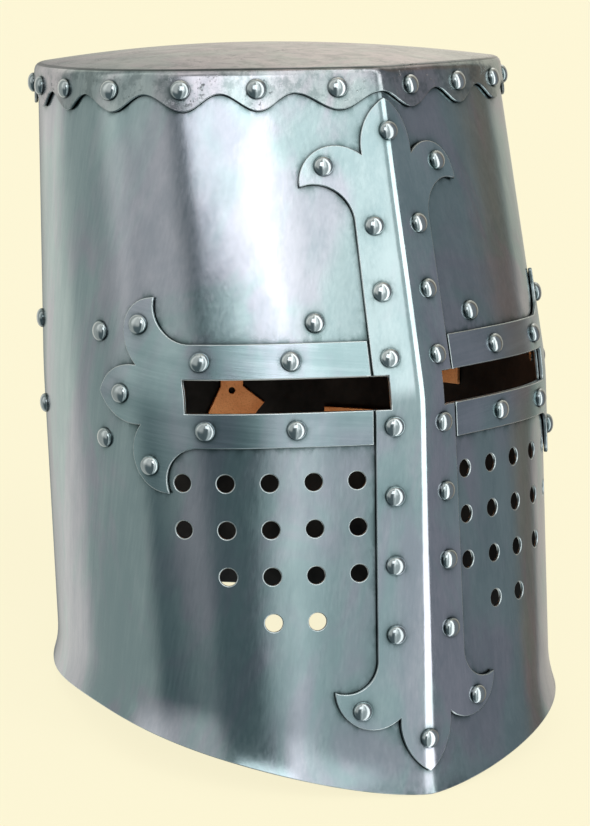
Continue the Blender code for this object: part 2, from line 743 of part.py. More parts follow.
def main():
    clear_scene()
    helm = bpy.data.collections.new("great_helm")
    bpy.context.scene.collection.children.link(helm)
    frame = bpy.data.objects.new("standing_frame", None)
    helm.objects.link(frame)
    plates = [make_wall(), make_crown(), make_bar(), make_arm("arm_right"), make_arm("arm_left")]
    flip_across(plates[-1])
    liner = make_liner()
    plate_face = GAP + PLATE_SHEET
    plate_grip = plate_face + GAP + WALL_SHEET
    liner_grip = WALL_SHEET + GAP + LEATHER + GAP
    plate_rivet = rivet_mesh("plate_rivet", plate_grip)
    liner_rivet = rivet_mesh("liner_rivet", liner_grip)
    wall_rivet = rivet_mesh("wall_rivet", WALL_SHEET + GAP)
    rivets = place_rivets("bar_rivet", plate_rivet, bar_rivets(), plate_face)
    rivets += place_rivets("bar_rivet", plate_rivet, keel_rivets(), plate_face, both_sides=False)
    rivets += place_rivets("arm_rivet", plate_rivet, arm_rivets(), plate_face)
    rivets += place_rivets("liner_rivet", liner_rivet, liner_rivets(), 0)
    rivets += place_rivets("side_rivet", wall_rivet, [WALL_RIVET_SIDE_LOW], 0)
    for obj in plates:
        finish(obj, helm, frame, material(obj.name, STEEL, 1, 0.3))
    finish(liner, helm, frame, material("liner", HIDE, 0, 0.7))
    rivet_steel = material("rivet", STEEL, 1, 0.2)
    for obj in rivets:
        finish(obj, helm, frame, rivet_steel)
    stand(frame, plates + [liner] + rivets)


main()
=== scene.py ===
import math
import random

import bmesh
import bpy
import numpy as np
from mathutils import Matrix, Vector
from mathutils.geometry import delaunay_2d_cdt


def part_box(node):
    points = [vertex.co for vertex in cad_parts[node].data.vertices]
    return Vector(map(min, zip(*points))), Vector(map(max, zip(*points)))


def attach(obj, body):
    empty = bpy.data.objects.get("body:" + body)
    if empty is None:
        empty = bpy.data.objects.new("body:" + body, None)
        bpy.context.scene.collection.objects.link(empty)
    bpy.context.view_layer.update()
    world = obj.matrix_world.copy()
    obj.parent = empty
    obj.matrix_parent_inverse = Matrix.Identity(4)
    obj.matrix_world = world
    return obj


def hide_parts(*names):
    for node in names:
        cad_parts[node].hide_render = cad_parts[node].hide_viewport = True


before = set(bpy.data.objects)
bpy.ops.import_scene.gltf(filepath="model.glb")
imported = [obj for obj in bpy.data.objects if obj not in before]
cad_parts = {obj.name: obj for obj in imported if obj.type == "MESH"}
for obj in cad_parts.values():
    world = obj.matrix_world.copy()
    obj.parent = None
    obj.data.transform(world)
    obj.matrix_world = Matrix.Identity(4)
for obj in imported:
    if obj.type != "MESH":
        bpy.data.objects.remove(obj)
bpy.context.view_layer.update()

MM = 0.001

# Sizes of the helm, the same as in the part's source
WALL_TOP = 317.5 * MM
BROW = 178 * MM
TOP_KEEL = 91.6 * MM
TOP_HALF_WIDTH = 106.4 * MM
TOP_WIDEST = 1 * MM
TOP_BACK = 121.8 * MM
BROW_KEEL = 125 * MM
BROW_HALF_WIDTH = 113 * MM
BROW_WIDEST = 22 * MM
BROW_BACK = 122.5 * MM
FOOT_KEEL = 128 * MM
FOOT_HALF_WIDTH = 109.7 * MM
FOOT_WIDEST = 33 * MM
FOOT_BACK = 119 * MM
KEEL_LEAVE_TOP = math.radians(21.8)
KEEL_LEAVE_BROW = math.radians(20.4)
KEEL_LEAVE_FOOT = math.radians(9.4)
KEEL_HANDLE = 0.70
FRONT_SIDE_HANDLE = 0.61
ROUND_HANDLE = 0.56

RIM_SLOPE = 0.204
RIM_ARCH = 17 * MM
RIM_ARCH_REACH = 270 * MM
RIM_ARCH_POWER = 1.7
RIM_FLARE = 3.2 * MM
FLARE_SHARE = 0.13

WALL_SHEET = 1.5 * MM
PLATE_SHEET = 1.8 * MM
CROWN_SHEET = 1.5 * MM
LEATHER = 2 * MM
GAP = 0.3 * MM
BAR_TO_ARM = 0.8 * MM

CROWN_RISE = 8 * MM
CROWN_TURN_RADIUS = 4 * MM
SCALLOP_CUSP = 308.5 * MM
SCALLOP_LOBE = 301 * MM
FRONT_SCALLOP = 39 * MM
SCALLOPS_EACH_SIDE = 10
CROWN_RIVET_HEIGHT = 310.5 * MM

SLIT_LOW = 172 * MM
SLIT_HIGH = 186.3 * MM
SLIT_START = 14 * MM
SLIT_END = 104 * MM
SLIT_MIDDLE = (SLIT_LOW + SLIT_HIGH) / 2

BAR_TOP_TIP = 305.7 * MM
BAR_LOW_TIP = 10.3 * MM
BAR_HALF_WIDTH_HIGH = 19.8 * MM
BAR_HALF_WIDTH_LOW = 22.8 * MM
BAR_RIVET_INSET = 8.4 * MM
BAR_RIVETS_ABOVE = 3
BAR_RIVETS_BELOW = 4
BAR_RIVET_PITCH_ABOVE = 28.4 * MM
BAR_RIVET_PITCH_BELOW = 30.7 * MM
RIVET_OFF_SLIT = 7.5 * MM

ARM_HALF_HEIGHT = 22.4 * MM
ARM_TIP = 150 * MM
ARM_RIVET_NEAR = 56 * MM
ARM_RIVET_FAR = 95.3 * MM

FLEUR_CUSP_OUT = 13 * MM
FLEUR_CUSP_DEPTH = 24.4 * MM
FLEUR_LOBE_OUT = 42.5 * MM
FLEUR_LOBE_DEPTH = 38 * MM
FLEUR_NECK_DEPTH = 52 * MM
FLEUR_PETAL_BULGE = 4 * MM
FLEUR_LOBE_BULGE = 10.5 * MM
FLEUR_NECK_BULGE = 6.8 * MM
FLEUR_RIVET_OUT = 30.5 * MM
FLEUR_RIVET_DEPTH = 29 * MM
FLEUR_TIP_RIVET_DEPTH = 14.4 * MM

BREATH_DIAMETER = 7.8 * MM
BREATH_FIRST = 29.6 * MM
BREATH_PITCH = 19.3 * MM
BREATH_TOP_ROW = 141.4 * MM
BREATH_ROW_PITCH = 20.5 * MM
BREATH_ROWS = ((0, 5), (0, 5), (0, 4), (1, 3))

RIVET_HEAD = 9 * MM
RIVET_RISE = 3.2 * MM
RIVET_SHANK = 3 * MM
RIVET_TAIL = 0.8 * MM

LINER_FRONT = 32 * MM
LINER_REAR = 200 * MM
LINER_TOP = 215 * MM
LINER_STRIP_LOW = 200 * MM
LINER_REAR_LOW = 158 * MM
LINER_RIVETS = [(43 * MM, 210 * MM), (147 * MM, 205 * MM), (232 * MM, 202 * MM), (232 * MM, 163 * MM)]
SIDE_RIVETS = [(150 * MM, 158 * MM)]
STRAP_LOW = 120 * MM
STRAP_TOP = 141 * MM
STRAP_START = 214 * MM
STRAP_ROOT_END = 243 * MM
STRAP_END = 283 * MM
TONGUE_LOW = 130 * MM
TONGUE_FROM_BACK = 38 * MM
TONGUE_NECK = 12 * MM
TONGUE_HALF_WIDTH = 17 * MM
LACE_HOLE = 3.4 * MM

# How finely the smooth shapes are drawn
KEEL_RADIUS = 2.6 * MM
BROW_EASE = 9 * MM
EDGE_ROUND = 0.5 * MM
EDGE_SHOULDER = 0.3
EDGE_TILT = 0.7
MITRE_LIMIT = 0.6
WALL_STEPS = 241
GRID_PITCH = 3.3 * MM
PLATE_PITCH = 2.6 * MM
OUTLINE_PITCH = 2.4 * MM
SLIT_PITCH = 2.5 * MM
LEATHER_PITCH = 3 * MM
GRID_CLEAR = 0.45
KEEL_PITCH = 2.2 * MM
KEEL_COLUMNS = [0.5 * MM, 1 * MM, 1.6 * MM, 2.3 * MM, 3.1 * MM, 4.1 * MM]
KEEL_CLEAR = 0.3 * MM
SAME = 1e-7
PETAL_STEPS = 12
LOBE_STEPS = 18
NECK_STEPS = 14
BREATH_SIDES = 28
LACE_SIDES = 14
RIVET_SIDES = 32
RIVET_HEAD_STEPS = 10
RIVET_SHARP = math.radians(38)
CROWN_COLUMNS = 330
CROWN_KEEL_TURN = 0.02
CROWN_KEEL_COLUMNS = 7
SKIRT_ROWS = 7
CORNER_SHARES = (0.2, 0.4, 0.6, 0.8)
DOME_ROWS = 26

# Small shapes and unevenness that only the scene has, and its floor
LEATHER_WAVE = 0.5 * MM
LEATHER_WAVE_ALONG = 23 * MM
LEATHER_WAVE_UP = 17 * MM
LEATHER_WAVE_SKEW = 40 * MM
TONGUE_WAIST = 0.75
TONGUE_HIP = 0.45
LACE_SHARE = 0.68
DOME_WIDE_POWER = 0.93
DOME_TALL_POWER = 0.86
DOME_BRIM = 0.04
HEAD_UNDERSIDE = 0.985
TAIL_PROFILE = ((2.9 * MM, 0), (2.7 * MM, 0.5 * MM), (1.6 * MM, RIVET_TAIL))
RIVET_TIP = math.radians(1.6)
RIVET_WIDTHS = (0.97, 1.02)
RIVET_HEIGHTS = (0.94, 1.0)
FLOOR_HALF = 9.0
FLOOR_DROP = 0.2 * MM

# The photograph's camera, in the helm's own frame, where its crown is level
CAMERA_AZIMUTH = math.radians(-30.009)
CAMERA_ELEVATION = math.radians(8.58)
CAMERA_ROLL = math.radians(-0.783)
CAMERA_PLACE = Vector((-0.75409, -1.31963, 0.38349))
CAMERA_LENS = 142.35
CAMERA_SENSOR = 36
CAMERA_REACH = 50


def handles(keel, leave, half_width, widest, back):
    """The two Bezier quarters of half a plan section: keel to side, side to back."""
    start = np.array((0, -keel))
    side = np.array((half_width, -widest))
    end = np.array((0, back))
    leaving = np.array((math.cos(leave), math.sin(leave))) * half_width * KEEL_HANDLE
    before_side = side - np.array((0, FRONT_SIDE_HANDLE * (keel - widest)))
    after_side = side + np.array((0, ROUND_HANDLE * (back + widest)))
    before_end = end + np.array((ROUND_HANDLE * half_width, 0))
    return (start, start + leaving, before_side, side), (side, after_side, before_end, end)


TOP_SECTION = handles(TOP_KEEL, KEEL_LEAVE_TOP, TOP_HALF_WIDTH, TOP_WIDEST, TOP_BACK)
BROW_SECTION = handles(BROW_KEEL, KEEL_LEAVE_BROW, BROW_HALF_WIDTH, BROW_WIDEST, BROW_BACK)
FOOT_SECTION = handles(FOOT_KEEL, KEEL_LEAVE_FOOT, FOOT_HALF_WIDTH, FOOT_WIDEST, FOOT_BACK)


def bezier(p, t):
    t = t[:, None]
    return p[0] * (1 - t) ** 3 + p[1] * 3 * t * (1 - t) ** 2 + p[2] * 3 * t * t * (1 - t) + p[3] * t**3


def bezier_slope(p, t):
    t = t[:, None]
    return (p[1] - p[0]) * (1 - t) ** 2 + (p[2] - p[1]) * 2 * t * (1 - t) + (p[3] - p[2]) * t * t


def section(halves, t):
    """Points and slopes of one section: t runs from 0 at the keel over 1 at the side to 2 at the back."""
    front, rear = halves
    first = (t <= 1)[:, None]
    low, high = np.clip(t, 0, 1), np.clip(t - 1, 0, 1)
    points = np.where(first, bezier(front, low), bezier(rear, high))
    slopes = np.where(first, bezier_slope(front, low), bezier_slope(rear, high))
    return points, slopes


def blended(t, z, ease=BROW_EASE):
    """Points, slopes and rise of the wall's outer face before the keel's rounding and the flare."""
    top, top_slope = section(TOP_SECTION, t)
    brow, brow_slope = section(BROW_SECTION, t)
    foot, foot_slope = section(FOOT_SECTION, t)
    over = z - BROW
    eased = np.where(over > ease, over, np.where(over < -ease, 0, (over + ease) ** 2 / (4 * ease)))
    eased_rate = np.clip((over + ease) / (2 * ease), 0, 1)
    share = (z / BROW)[:, None]
    eased, eased_rate = eased[:, None], eased_rate[:, None]

    def mix(low, middle, high):
        turn = (high - middle) / (WALL_TOP - BROW) - (middle - low) / BROW
        return low + (middle - low) * share + turn * eased, (middle - low) / BROW + turn * eased_rate

    points, rise = mix(foot, brow, top)
    slopes, _ = mix(foot_slope, brow_slope, top_slope)
    return points, slopes, rise


T_FINE = np.linspace(0, 2, WALL_STEPS)


def run_at(z):
    """Running lengths round half the wall at height z, one for each of T_FINE."""
    points, _, _ = blended(T_FINE, np.full(len(T_FINE), z), 1e-6)
    steps = np.linalg.norm(np.diff(points, axis=0), axis=1)
    return np.concatenate(([0], np.cumsum(steps)))


BROW_RUN = run_at(BROW)
FLAT_END = BROW_RUN[-1]


def rim_table():
    """Height of the lower edge for each of T_FINE."""
    heights = np.zeros(len(T_FINE))
    for _ in range(5):
        reach = np.array([run_at(z)[i] for i, z in enumerate(heights)]) / RIM_ARCH_REACH
        wave = np.sin(math.pi * np.minimum(reach, 1))
        arch = RIM_ARCH * np.maximum(wave, 0) ** RIM_ARCH_POWER
        points, _, _ = blended(T_FINE, heights, 1e-6)
        heights = RIM_SLOPE * (points[:, 1] + FOOT_KEEL) + arch
    return heights


RIM = rim_table()


def turn_of(s, z):
    """The t of a point s along the wall from the keel at height z."""
    return float(np.interp(s, run_at(z), T_FINE))


def flat_of(outline):
    """Flat-sheet points of an outline given in (s, z)."""
    return np.array([(np.interp(turn_of(s, z), T_FINE, BROW_RUN), z) for s, z in outline])


def place(flat, z, depth):
    """Points, outward normals, and unit vectors along and up the wall, of flat-sheet points."""
    flat, z = np.asarray(flat, float), np.asarray(z, float)
    t = np.interp(flat, BROW_RUN, T_FINE)
    points, slopes, rise = blended(t, z)
    _, keel_slopes, _ = blended(np.zeros(len(z)), z)
    keel_tangent = keel_slopes[:, 1] / keel_slopes[:, 0]
    x = points[:, 0]
    root = np.sqrt(x * x + KEEL_RADIUS * KEEL_RADIUS)
    front = t < 1
    points[:, 1] += keel_tangent * np.where(front, root - x, 0)
    slopes[:, 1] += keel_tangent * np.where(front, x / root - 1, 0) * slopes[:, 0]
    normal = np.stack((slopes[:, 1], -slopes[:, 0]), 1)
    normal /= np.linalg.norm(normal, axis=1)[:, None]
    rim = np.interp(t, T_FINE, RIM)
    share = np.clip((z - rim) / (BROW - rim) / FLARE_SHARE, 0, 1)
    flare = (1 - share) ** 2 * RIM_FLARE
    flare_rate = -2 * (1 - share) * RIM_FLARE / (FLARE_SHARE * (BROW - rim))
    lean = -(normal * rise).sum(1)
    length = np.sqrt(1 + lean * lean)
    outward = np.column_stack((normal, lean)) / length[:, None]
    foot_out = np.column_stack((normal, RIM_SLOPE * normal[:, 1]))
    outward = foot_out * (1 - share)[:, None] + outward * share[:, None]
    spread = foot_out * flare[:, None]
    base = np.column_stack((points, z)) + spread + outward * np.asarray(depth, float).reshape(-1, 1)
    along = np.column_stack((slopes, np.zeros(len(z))))
    along /= np.linalg.norm(along, axis=1)[:, None]
    up = np.column_stack((rise + normal * flare_rate[:, None], np.ones(len(z))))
    up /= np.linalg.norm(up, axis=1)[:, None]
    facing = np.cross(along, up)
    facing /= np.linalg.norm(facing, axis=1)[:, None]
    return base, facing, along, up


LEAN = math.atan(RIM_SLOPE)
wall_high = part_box("wall")[1]
STAND_Y = wall_high[1] - (TOP_BACK * math.cos(LEAN) + WALL_TOP * math.sin(LEAN))
STAND_Z = -FOOT_KEEL * math.sin(LEAN)
STAND = Matrix.Translation((0, STAND_Y, STAND_Z)) @ Matrix.Rotation(-LEAN, 4, "X")
STAND_TURN = np.array(STAND.to_3x3())
STAND_SHIFT = np.array(STAND.translation)


def standing(points):
    return np.asarray(points) @ STAND_TURN.T + STAND_SHIFT


def inside(points, loop):
    """Which points lie inside a closed loop."""
    x, y = points[:, 0], points[:, 1]
    hit = np.zeros(len(points), bool)
    for (ax, ay), (bx, by) in zip(loop, np.roll(loop, -1, axis=0)):
        if ay == by:
            continue
        crosses = (ay > y) != (by > y)
        hit ^= crosses & (x < (bx - ax) * (y - ay) / (by - ay) + ax)
    return hit


def on_seam(u):
    """Whether flat-sheet lengths lie on the keel or at the back, where the halves join."""
    return (u < SAME) | (u > FLAT_END - SAME)


def along_seam(a, b):
    return on_seam(a[0]) and on_seam(b[0]) and abs(a[0] - b[0]) < SAME


def inset_directions(loop):
    """For each point of a loop with the sheet on its left: the way into the sheet, mitred."""
    count = len(loop)
    ways = np.zeros((count, 2))
    for i in range(count):
        here, before, after = loop[i], loop[i - 1], loop[(i + 1) % count]
        sides = []
        for a, b in ((before, here), (here, after)):
            step = b - a
            if not along_seam(a, b) and np.hypot(*step) > 1e-9:
                sides.append(np.array((-step[1], step[0])) / np.hypot(*step))
        if not sides:
            continue
        way = sum(sides)
        way /= max(np.hypot(*way), 1e-9)
        ways[i] = way / max(way @ sides[0], MITRE_LIMIT)
        if on_seam(here[0]):
            ways[i] = (0, math.copysign(1, ways[i][1]) if abs(ways[i][1]) > 1e-6 else 0)
    return ways


def smooth_object(name, points, normals, faces, groups, materials):
    """A mesh object from arrays, with its own vertex normals, in the row frame."""
    mesh = bpy.data.meshes.new(name)
    mesh.from_pydata([tuple(p) for p in standing(points)], [], [tuple(map(int, f)) for f in faces])
    for surface in materials:
        mesh.materials.append(surface)
    mesh.polygons.foreach_set("material_index", groups)
    mesh.polygons.foreach_set("use_smooth", [True] * len(mesh.polygons))
    turned = normals @ STAND_TURN.T
    mesh.normals_split_custom_set_from_vertices([tuple(n) for n in turned])
    mesh.update()
    obj = bpy.data.objects.new(name, mesh)
    bpy.context.scene.collection.objects.link(obj)
    return obj


def edge_rings(inner, outer):
    """A rounded edge's rings from the outer face to the inner: share of the inset, depth, tilt."""
    return (
        (EDGE_SHOULDER, outer - EDGE_ROUND * EDGE_SHOULDER, EDGE_TILT),
        (0, outer - EDGE_ROUND, 0),
        (0, inner + EDGE_ROUND, 0),
        (EDGE_SHOULDER, inner + EDGE_ROUND * EDGE_SHOULDER, -EDGE_TILT),
    )


def edge_normals(out, away, tilt):
    blend = out * tilt + away * math.sqrt(1 - tilt * tilt)
    return blend / np.linalg.norm(blend, axis=1)[:, None]


def sheet_arrays(loops, inner, outer, pitch=GRID_PITCH, drift=None):
    """Half a bent sheet: points, normals, faces, material groups and which points lie on a seam.

    The first loop runs round the sheet with the sheet on its left, the others round its holes with
    the sheet on their left. drift, where given, moves the whole sheet in or out from place to place.
    """
    ways = [inset_directions(loop) for loop in loops]
    inset = [loop + way * EDGE_ROUND for loop, way in zip(loops, ways)]
    low, high = loops[0].min(0), loops[0].max(0)
    columns = np.arange(low[0] + pitch / 2, high[0], pitch)
    rows = np.arange(low[1] + pitch / 2, high[1], pitch)
    grid = np.array([(u + (j % 2) * pitch / 2, z) for j, z in enumerate(rows) for u in columns])
    if low[0] < 1e-6:
        grid = grid[grid[:, 0] > KEEL_COLUMNS[-1] + pitch / 3]
        heights = np.arange(low[1] + 1 * MM, high[1], KEEL_PITCH)
        grid = np.vstack((grid, [(u, z) for u in KEEL_COLUMNS for z in heights]))
    keep = inside(grid, inset[0])
    for loop in inset[1:]:
        keep &= ~inside(grid, loop)
    grid = grid[keep]
    edge_points = np.vstack(inset)
    clear = np.full(len(grid), np.inf)
    for point in edge_points:
        clear = np.minimum(clear, np.hypot(*(grid - point).T))
    near_keel = grid[:, 0] < KEEL_COLUMNS[-1] + 1e-9
    grid = grid[(clear > pitch * GRID_CLEAR) | (near_keel & (clear > KEEL_CLEAR))]
    points, edges, starts = [], [], []
    for loop in inset:
        starts.append(len(points))
        count = len(loop)
        points += list(loop)
        edges += [(starts[-1] + i, starts[-1] + (i + 1) % count) for i in range(count)]
    points += list(grid)
    scaled = [Vector((p[0] / MM, p[1] / MM)) for p in points]
    found, _, faces, origins, _, _ = delaunay_2d_cdt(scaled, edges, [], 0, 1e-5)
    flat = np.array([(v.x * MM, v.y * MM) for v in found])
    where = {}
    for i, names in enumerate(origins):
        for name in names:
            where[name] = i
    faces = np.array([f for f in faces if len(f) == 3])
    centres = flat[faces].mean(1)
    keep = inside(centres, inset[0])
    for loop in inset[1:]:
        keep &= ~inside(centres, loop)
    faces = faces[keep]
    a, b, c = flat[faces[:, 0]], flat[faces[:, 1]], flat[faces[:, 2]]
    turned = (b - a)[:, 0] * (c - a)[:, 1] - (b - a)[:, 1] * (c - a)[:, 0] < 0
    faces[turned] = faces[turned][:, ::-1]

    def moved(uz, depth):
        shift = 0 if drift is None else drift(uz[:, 0], uz[:, 1])
        return place(uz[:, 0], uz[:, 1], depth + shift)

    outside, facing, _, _ = moved(flat, outer)
    within, _, _, _ = moved(flat, inner)
    count = len(flat)
    all_points = [outside, within]
    all_normals = [facing, -facing]
    all_faces = [tuple(f) for f in faces] + [tuple(f[::-1] + count) for f in faces]
    groups = [0] * len(faces) + [1] * len(faces)
    seam = [flat[:, 0], flat[:, 0]]
    total = 2 * count
    for loop, way, start in zip(loops, ways, starts):
        size = len(loop)
        ring_out = [where[start + i] for i in range(size)]
        ring_in = [i + count for i in ring_out]
        rings = [ring_out]
        for share, depth, tilt in edge_rings(inner, outer):
            uz = loop + way * EDGE_ROUND * share
            spot, out, along, up = moved(uz, depth)
            away = -(along * way[:, :1] + up * way[:, 1:])
            away /= np.maximum(np.linalg.norm(away, axis=1), 1e-9)[:, None]
            all_points.append(spot)
            all_normals.append(edge_normals(out, away, tilt))
            seam.append(uz[:, 0])
            rings.append(list(range(total, total + size)))
            total += size
        rings.append(ring_in)
        for one, other in zip(rings, rings[1:]):
            for i in range(size):
                j = (i + 1) % size
                if along_seam(loop[i], loop[j]):
                    continue
                all_faces.append((one[i], other[i], other[j], one[j]))
                groups.append(2)
    return np.vstack(all_points), np.vstack(all_normals), all_faces, groups, np.concatenate(seam)


def both_halves(points, normals, faces, groups, seam):
    """The half sheet and its mirror across the keel, joined along their seams."""
    count = len(points)
    twin = np.arange(count) + count
    held = on_seam(seam)
    points = points.copy()
    points[held, 0] = 0
    normals = normals.copy()
    normals[held, 0] = 0
    normals[held] /= np.maximum(np.linalg.norm(normals[held], axis=1), 1e-9)[:, None]
    twin[held] = np.flatnonzero(held)
    flip = np.array((-1, 1, 1))
    all_points = np.vstack((points, points * flip))
    all_normals = np.vstack((normals, normals * flip))
    all_faces = list(faces) + [tuple(int(twin[i]) for i in f[::-1]) for f in faces]
    used = np.zeros(2 * count, bool)
    for f in all_faces:
        used[list(f)] = True
    number = np.cumsum(used) - 1
    all_faces = [tuple(int(number[i]) for i in f) for f in all_faces]
    return all_points[used], all_normals[used], all_faces, list(groups) * 2


def across(points, normals, faces, groups):
    """A right-hand piece turned into a left-hand one."""
    flip = np.array((-1, 1, 1))
    return points * flip, normals * flip, [f[::-1] for f in faces], groups


def subdivided(points, pitch):
    """The same closed outline with no step longer than pitch."""
    result = []
    for a, b in zip(points, points[1:] + points[:1]):
        steps = max(1, math.ceil(math.dist(a, b) / pitch))
        for k in range(steps):
            result.append((a[0] + (b[0] - a[0]) * k / steps, a[1] + (b[1] - a[1]) * k / steps))
    return result


def hole(s, z, diameter, sides):
    """A round hole's outline, with the sheet on its left."""
    angles = [-2 * math.pi * k / sides for k in range(sides)]
    return [(s + diameter / 2 * math.cos(a), z + diameter / 2 * math.sin(a)) for a in angles]


def arc(start, end, bulge, steps):
    """Points after start up to end, on an arc that stands bulge to the right of the chord."""
    start, end = Vector(start), Vector(end)
    chord = end - start
    side = Vector((chord.y, -chord.x)).normalized() * math.copysign(1, bulge)
    half = chord.length / 2
    radius = (half * half + bulge * bulge) / (2 * abs(bulge))
    turn = 2 * math.atan2(abs(bulge), half)
    centre = (start + end) / 2 + side * (abs(bulge) - radius)
    points = []
    for k in range(1, steps):
        angle = -turn + 2 * turn * k / steps
        forward = chord.normalized() * math.sin(angle)
        points.append(tuple(centre + (forward + side * math.cos(angle)) * radius))
    return points + [tuple(end)]


def fleur_half(neck_half_width):
    """Half a fleur end from its tip to its neck, as (out from the middle, depth from the tip)."""
    cusp = (FLEUR_CUSP_OUT, FLEUR_CUSP_DEPTH)
    lobe = (FLEUR_LOBE_OUT, FLEUR_LOBE_DEPTH)
    neck = (neck_half_width, FLEUR_NECK_DEPTH)
    points = [(0, 0)]
    points += arc((0, 0), cusp, FLEUR_PETAL_BULGE, PETAL_STEPS)
    points += arc(cusp, lobe, FLEUR_LOBE_BULGE, LOBE_STEPS)
    points += arc(lobe, neck, -FLEUR_NECK_BULGE, NECK_STEPS)
    return points


def bar_half_width(z):
    low, high = BAR_LOW_TIP + FLEUR_NECK_DEPTH, BAR_TOP_TIP - FLEUR_NECK_DEPTH
    return BAR_HALF_WIDTH_LOW + (BAR_HALF_WIDTH_HIGH - BAR_HALF_WIDTH_LOW) * (z - low) / (high - low)


def bar_rivets():
    places = []
    for k in range(BAR_RIVETS_ABOVE):
        z = SLIT_HIGH + RIVET_OFF_SLIT + k * BAR_RIVET_PITCH_ABOVE
        places.append((bar_half_width(z) - BAR_RIVET_INSET, z))
    for k in range(BAR_RIVETS_BELOW):
        z = SLIT_LOW - RIVET_OFF_SLIT - k * BAR_RIVET_PITCH_BELOW
        places.append((bar_half_width(z) - BAR_RIVET_INSET, z))
    places.append((FLEUR_RIVET_OUT, BAR_TOP_TIP - FLEUR_RIVET_DEPTH))
    places.append((FLEUR_RIVET_OUT, BAR_LOW_TIP + FLEUR_RIVET_DEPTH))
    return places


def keel_rivets():
    return [(0, BAR_TOP_TIP - FLEUR_TIP_RIVET_DEPTH), (0, BAR_LOW_TIP + FLEUR_TIP_RIVET_DEPTH)]


def arm_rivets():
    off = SLIT_HIGH - SLIT_MIDDLE + RIVET_OFF_SLIT
    places = [(s, SLIT_MIDDLE + side * off) for s in (ARM_RIVET_NEAR, ARM_RIVET_FAR) for side in (1, -1)]
    places += [(ARM_TIP - FLEUR_RIVET_DEPTH, SLIT_MIDDLE + side * FLEUR_RIVET_OUT) for side in (1, -1)]
    places.append((ARM_TIP - FLEUR_TIP_RIVET_DEPTH, SLIT_MIDDLE))
    return places


def scallop_cusps():
    rest = (run_at(SCALLOP_CUSP)[-1] - FRONT_SCALLOP) / (SCALLOPS_EACH_SIDE - 1)
    return [0] + [FRONT_SCALLOP + k * rest for k in range(SCALLOPS_EACH_SIDE)]


def crown_rivets():
    cusps = scallop_cusps()
    return [((a + b) / 2, CROWN_RIVET_HEIGHT) for a, b in zip(cusps, cusps[1:])]


def scallop_height(s):
    """Height of the skirt's lower edge at a distance s from the keel."""
    cusps = scallop_cusps()
    i = int(np.clip(np.searchsorted(cusps, s, side="right") - 1, 0, len(cusps) - 2))
    share = min(max((s - cusps[i]) / (cusps[i + 1] - cusps[i]), 0), 1)
    wave = (1 + math.cos(2 * math.pi * share)) / 2
    return SCALLOP_LOBE + (SCALLOP_CUSP - SCALLOP_LOBE) * wave


def wall_object(materials):
    """The smooth wall with its slits and breath holes."""
    keep = slice(None, None, 2)
    foot = [(u, z) for u, z in zip(BROW_RUN[keep], RIM[keep])]
    back = [(FLAT_END, z) for z in np.arange(RIM[-1] + GRID_PITCH, WALL_TOP - 1 * MM, GRID_PITCH)]
    head = [(u, WALL_TOP) for u in BROW_RUN[keep]][::-1]
    keel = [(0, z) for z in np.arange(2 * MM, WALL_TOP - 1 * MM, KEEL_PITCH)][::-1]
    loops = [np.array(foot + back + head + keel)]
    slit = [(SLIT_START, SLIT_LOW), (SLIT_START, SLIT_HIGH), (SLIT_END, SLIT_HIGH), (SLIT_END, SLIT_LOW)]
    loops.append(flat_of(subdivided(slit, SLIT_PITCH)))
    for row, (first, stop) in enumerate(BREATH_ROWS):
        z = BREATH_TOP_ROW - row * BREATH_ROW_PITCH
        for k in range(first, stop):
            loops.append(flat_of(hole(BREATH_FIRST + k * BREATH_PITCH, z, BREATH_DIAMETER, BREATH_SIDES)))
    return smooth_object("helm_wall", *both_halves(*sheet_arrays(loops, -WALL_SHEET, 0)), materials)


def bar_object(materials):
    """The vertical bar with a fleur at each end, notched at the slits."""
    top = [(out, BAR_TOP_TIP - depth) for out, depth in fleur_half(BAR_HALF_WIDTH_HIGH)]
    low = [(out, BAR_LOW_TIP + depth) for out, depth in fleur_half(BAR_HALF_WIDTH_LOW)]
    notch = [(bar_half_width(SLIT_LOW), SLIT_LOW), (SLIT_START, SLIT_LOW)]
    notch += [(SLIT_START, SLIT_HIGH), (bar_half_width(SLIT_HIGH), SLIT_HIGH)]
    edge = low + notch + top[::-1]
    closed = subdivided(edge, OUTLINE_PITCH)
    last = max(i for i, p in enumerate(closed) if p == edge[-1])
    loop = flat_of(closed[: last + 1] + [(0, z) for _, z in closed[last + 1:]])
    arrays = both_halves(*sheet_arrays([loop], GAP, GAP + PLATE_SHEET, PLATE_PITCH))
    return smooth_object("helm_cross_bar", *arrays, materials)


def arm_arrays():
    """The right arm, from the bar's edge round its fleur end, split by the slit up to its end."""
    end = fleur_half(ARM_HALF_HEIGHT)
    upper = [(ARM_TIP - depth, SLIT_MIDDLE + out) for out, depth in end]
    lower = [(ARM_TIP - depth, SLIT_MIDDLE - out) for out, depth in end[1:]]
    heights = (SLIT_MIDDLE + ARM_HALF_HEIGHT, SLIT_HIGH, SLIT_LOW, SLIT_MIDDLE - ARM_HALF_HEIGHT)
    roots = [(bar_half_width(z) + BAR_TO_ARM, z) for z in heights]
    edge = upper + roots[:2] + [(SLIT_END, SLIT_HIGH), (SLIT_END, SLIT_LOW)] + roots[2:] + lower[::-1]
    loop = flat_of(subdivided(edge, OUTLINE_PITCH))
    return sheet_arrays([loop], GAP, GAP + PLATE_SHEET, PLATE_PITCH)[:4]


def liner_drift(flat, z):
    """The leather stands off the wall a little between its rivets, in soft waves."""
    wave = np.sin(flat / LEATHER_WAVE_ALONG) * np.cos(z / LEATHER_WAVE_UP + flat / LEATHER_WAVE_SKEW)
    return -LEATHER_WAVE * (1 + wave)


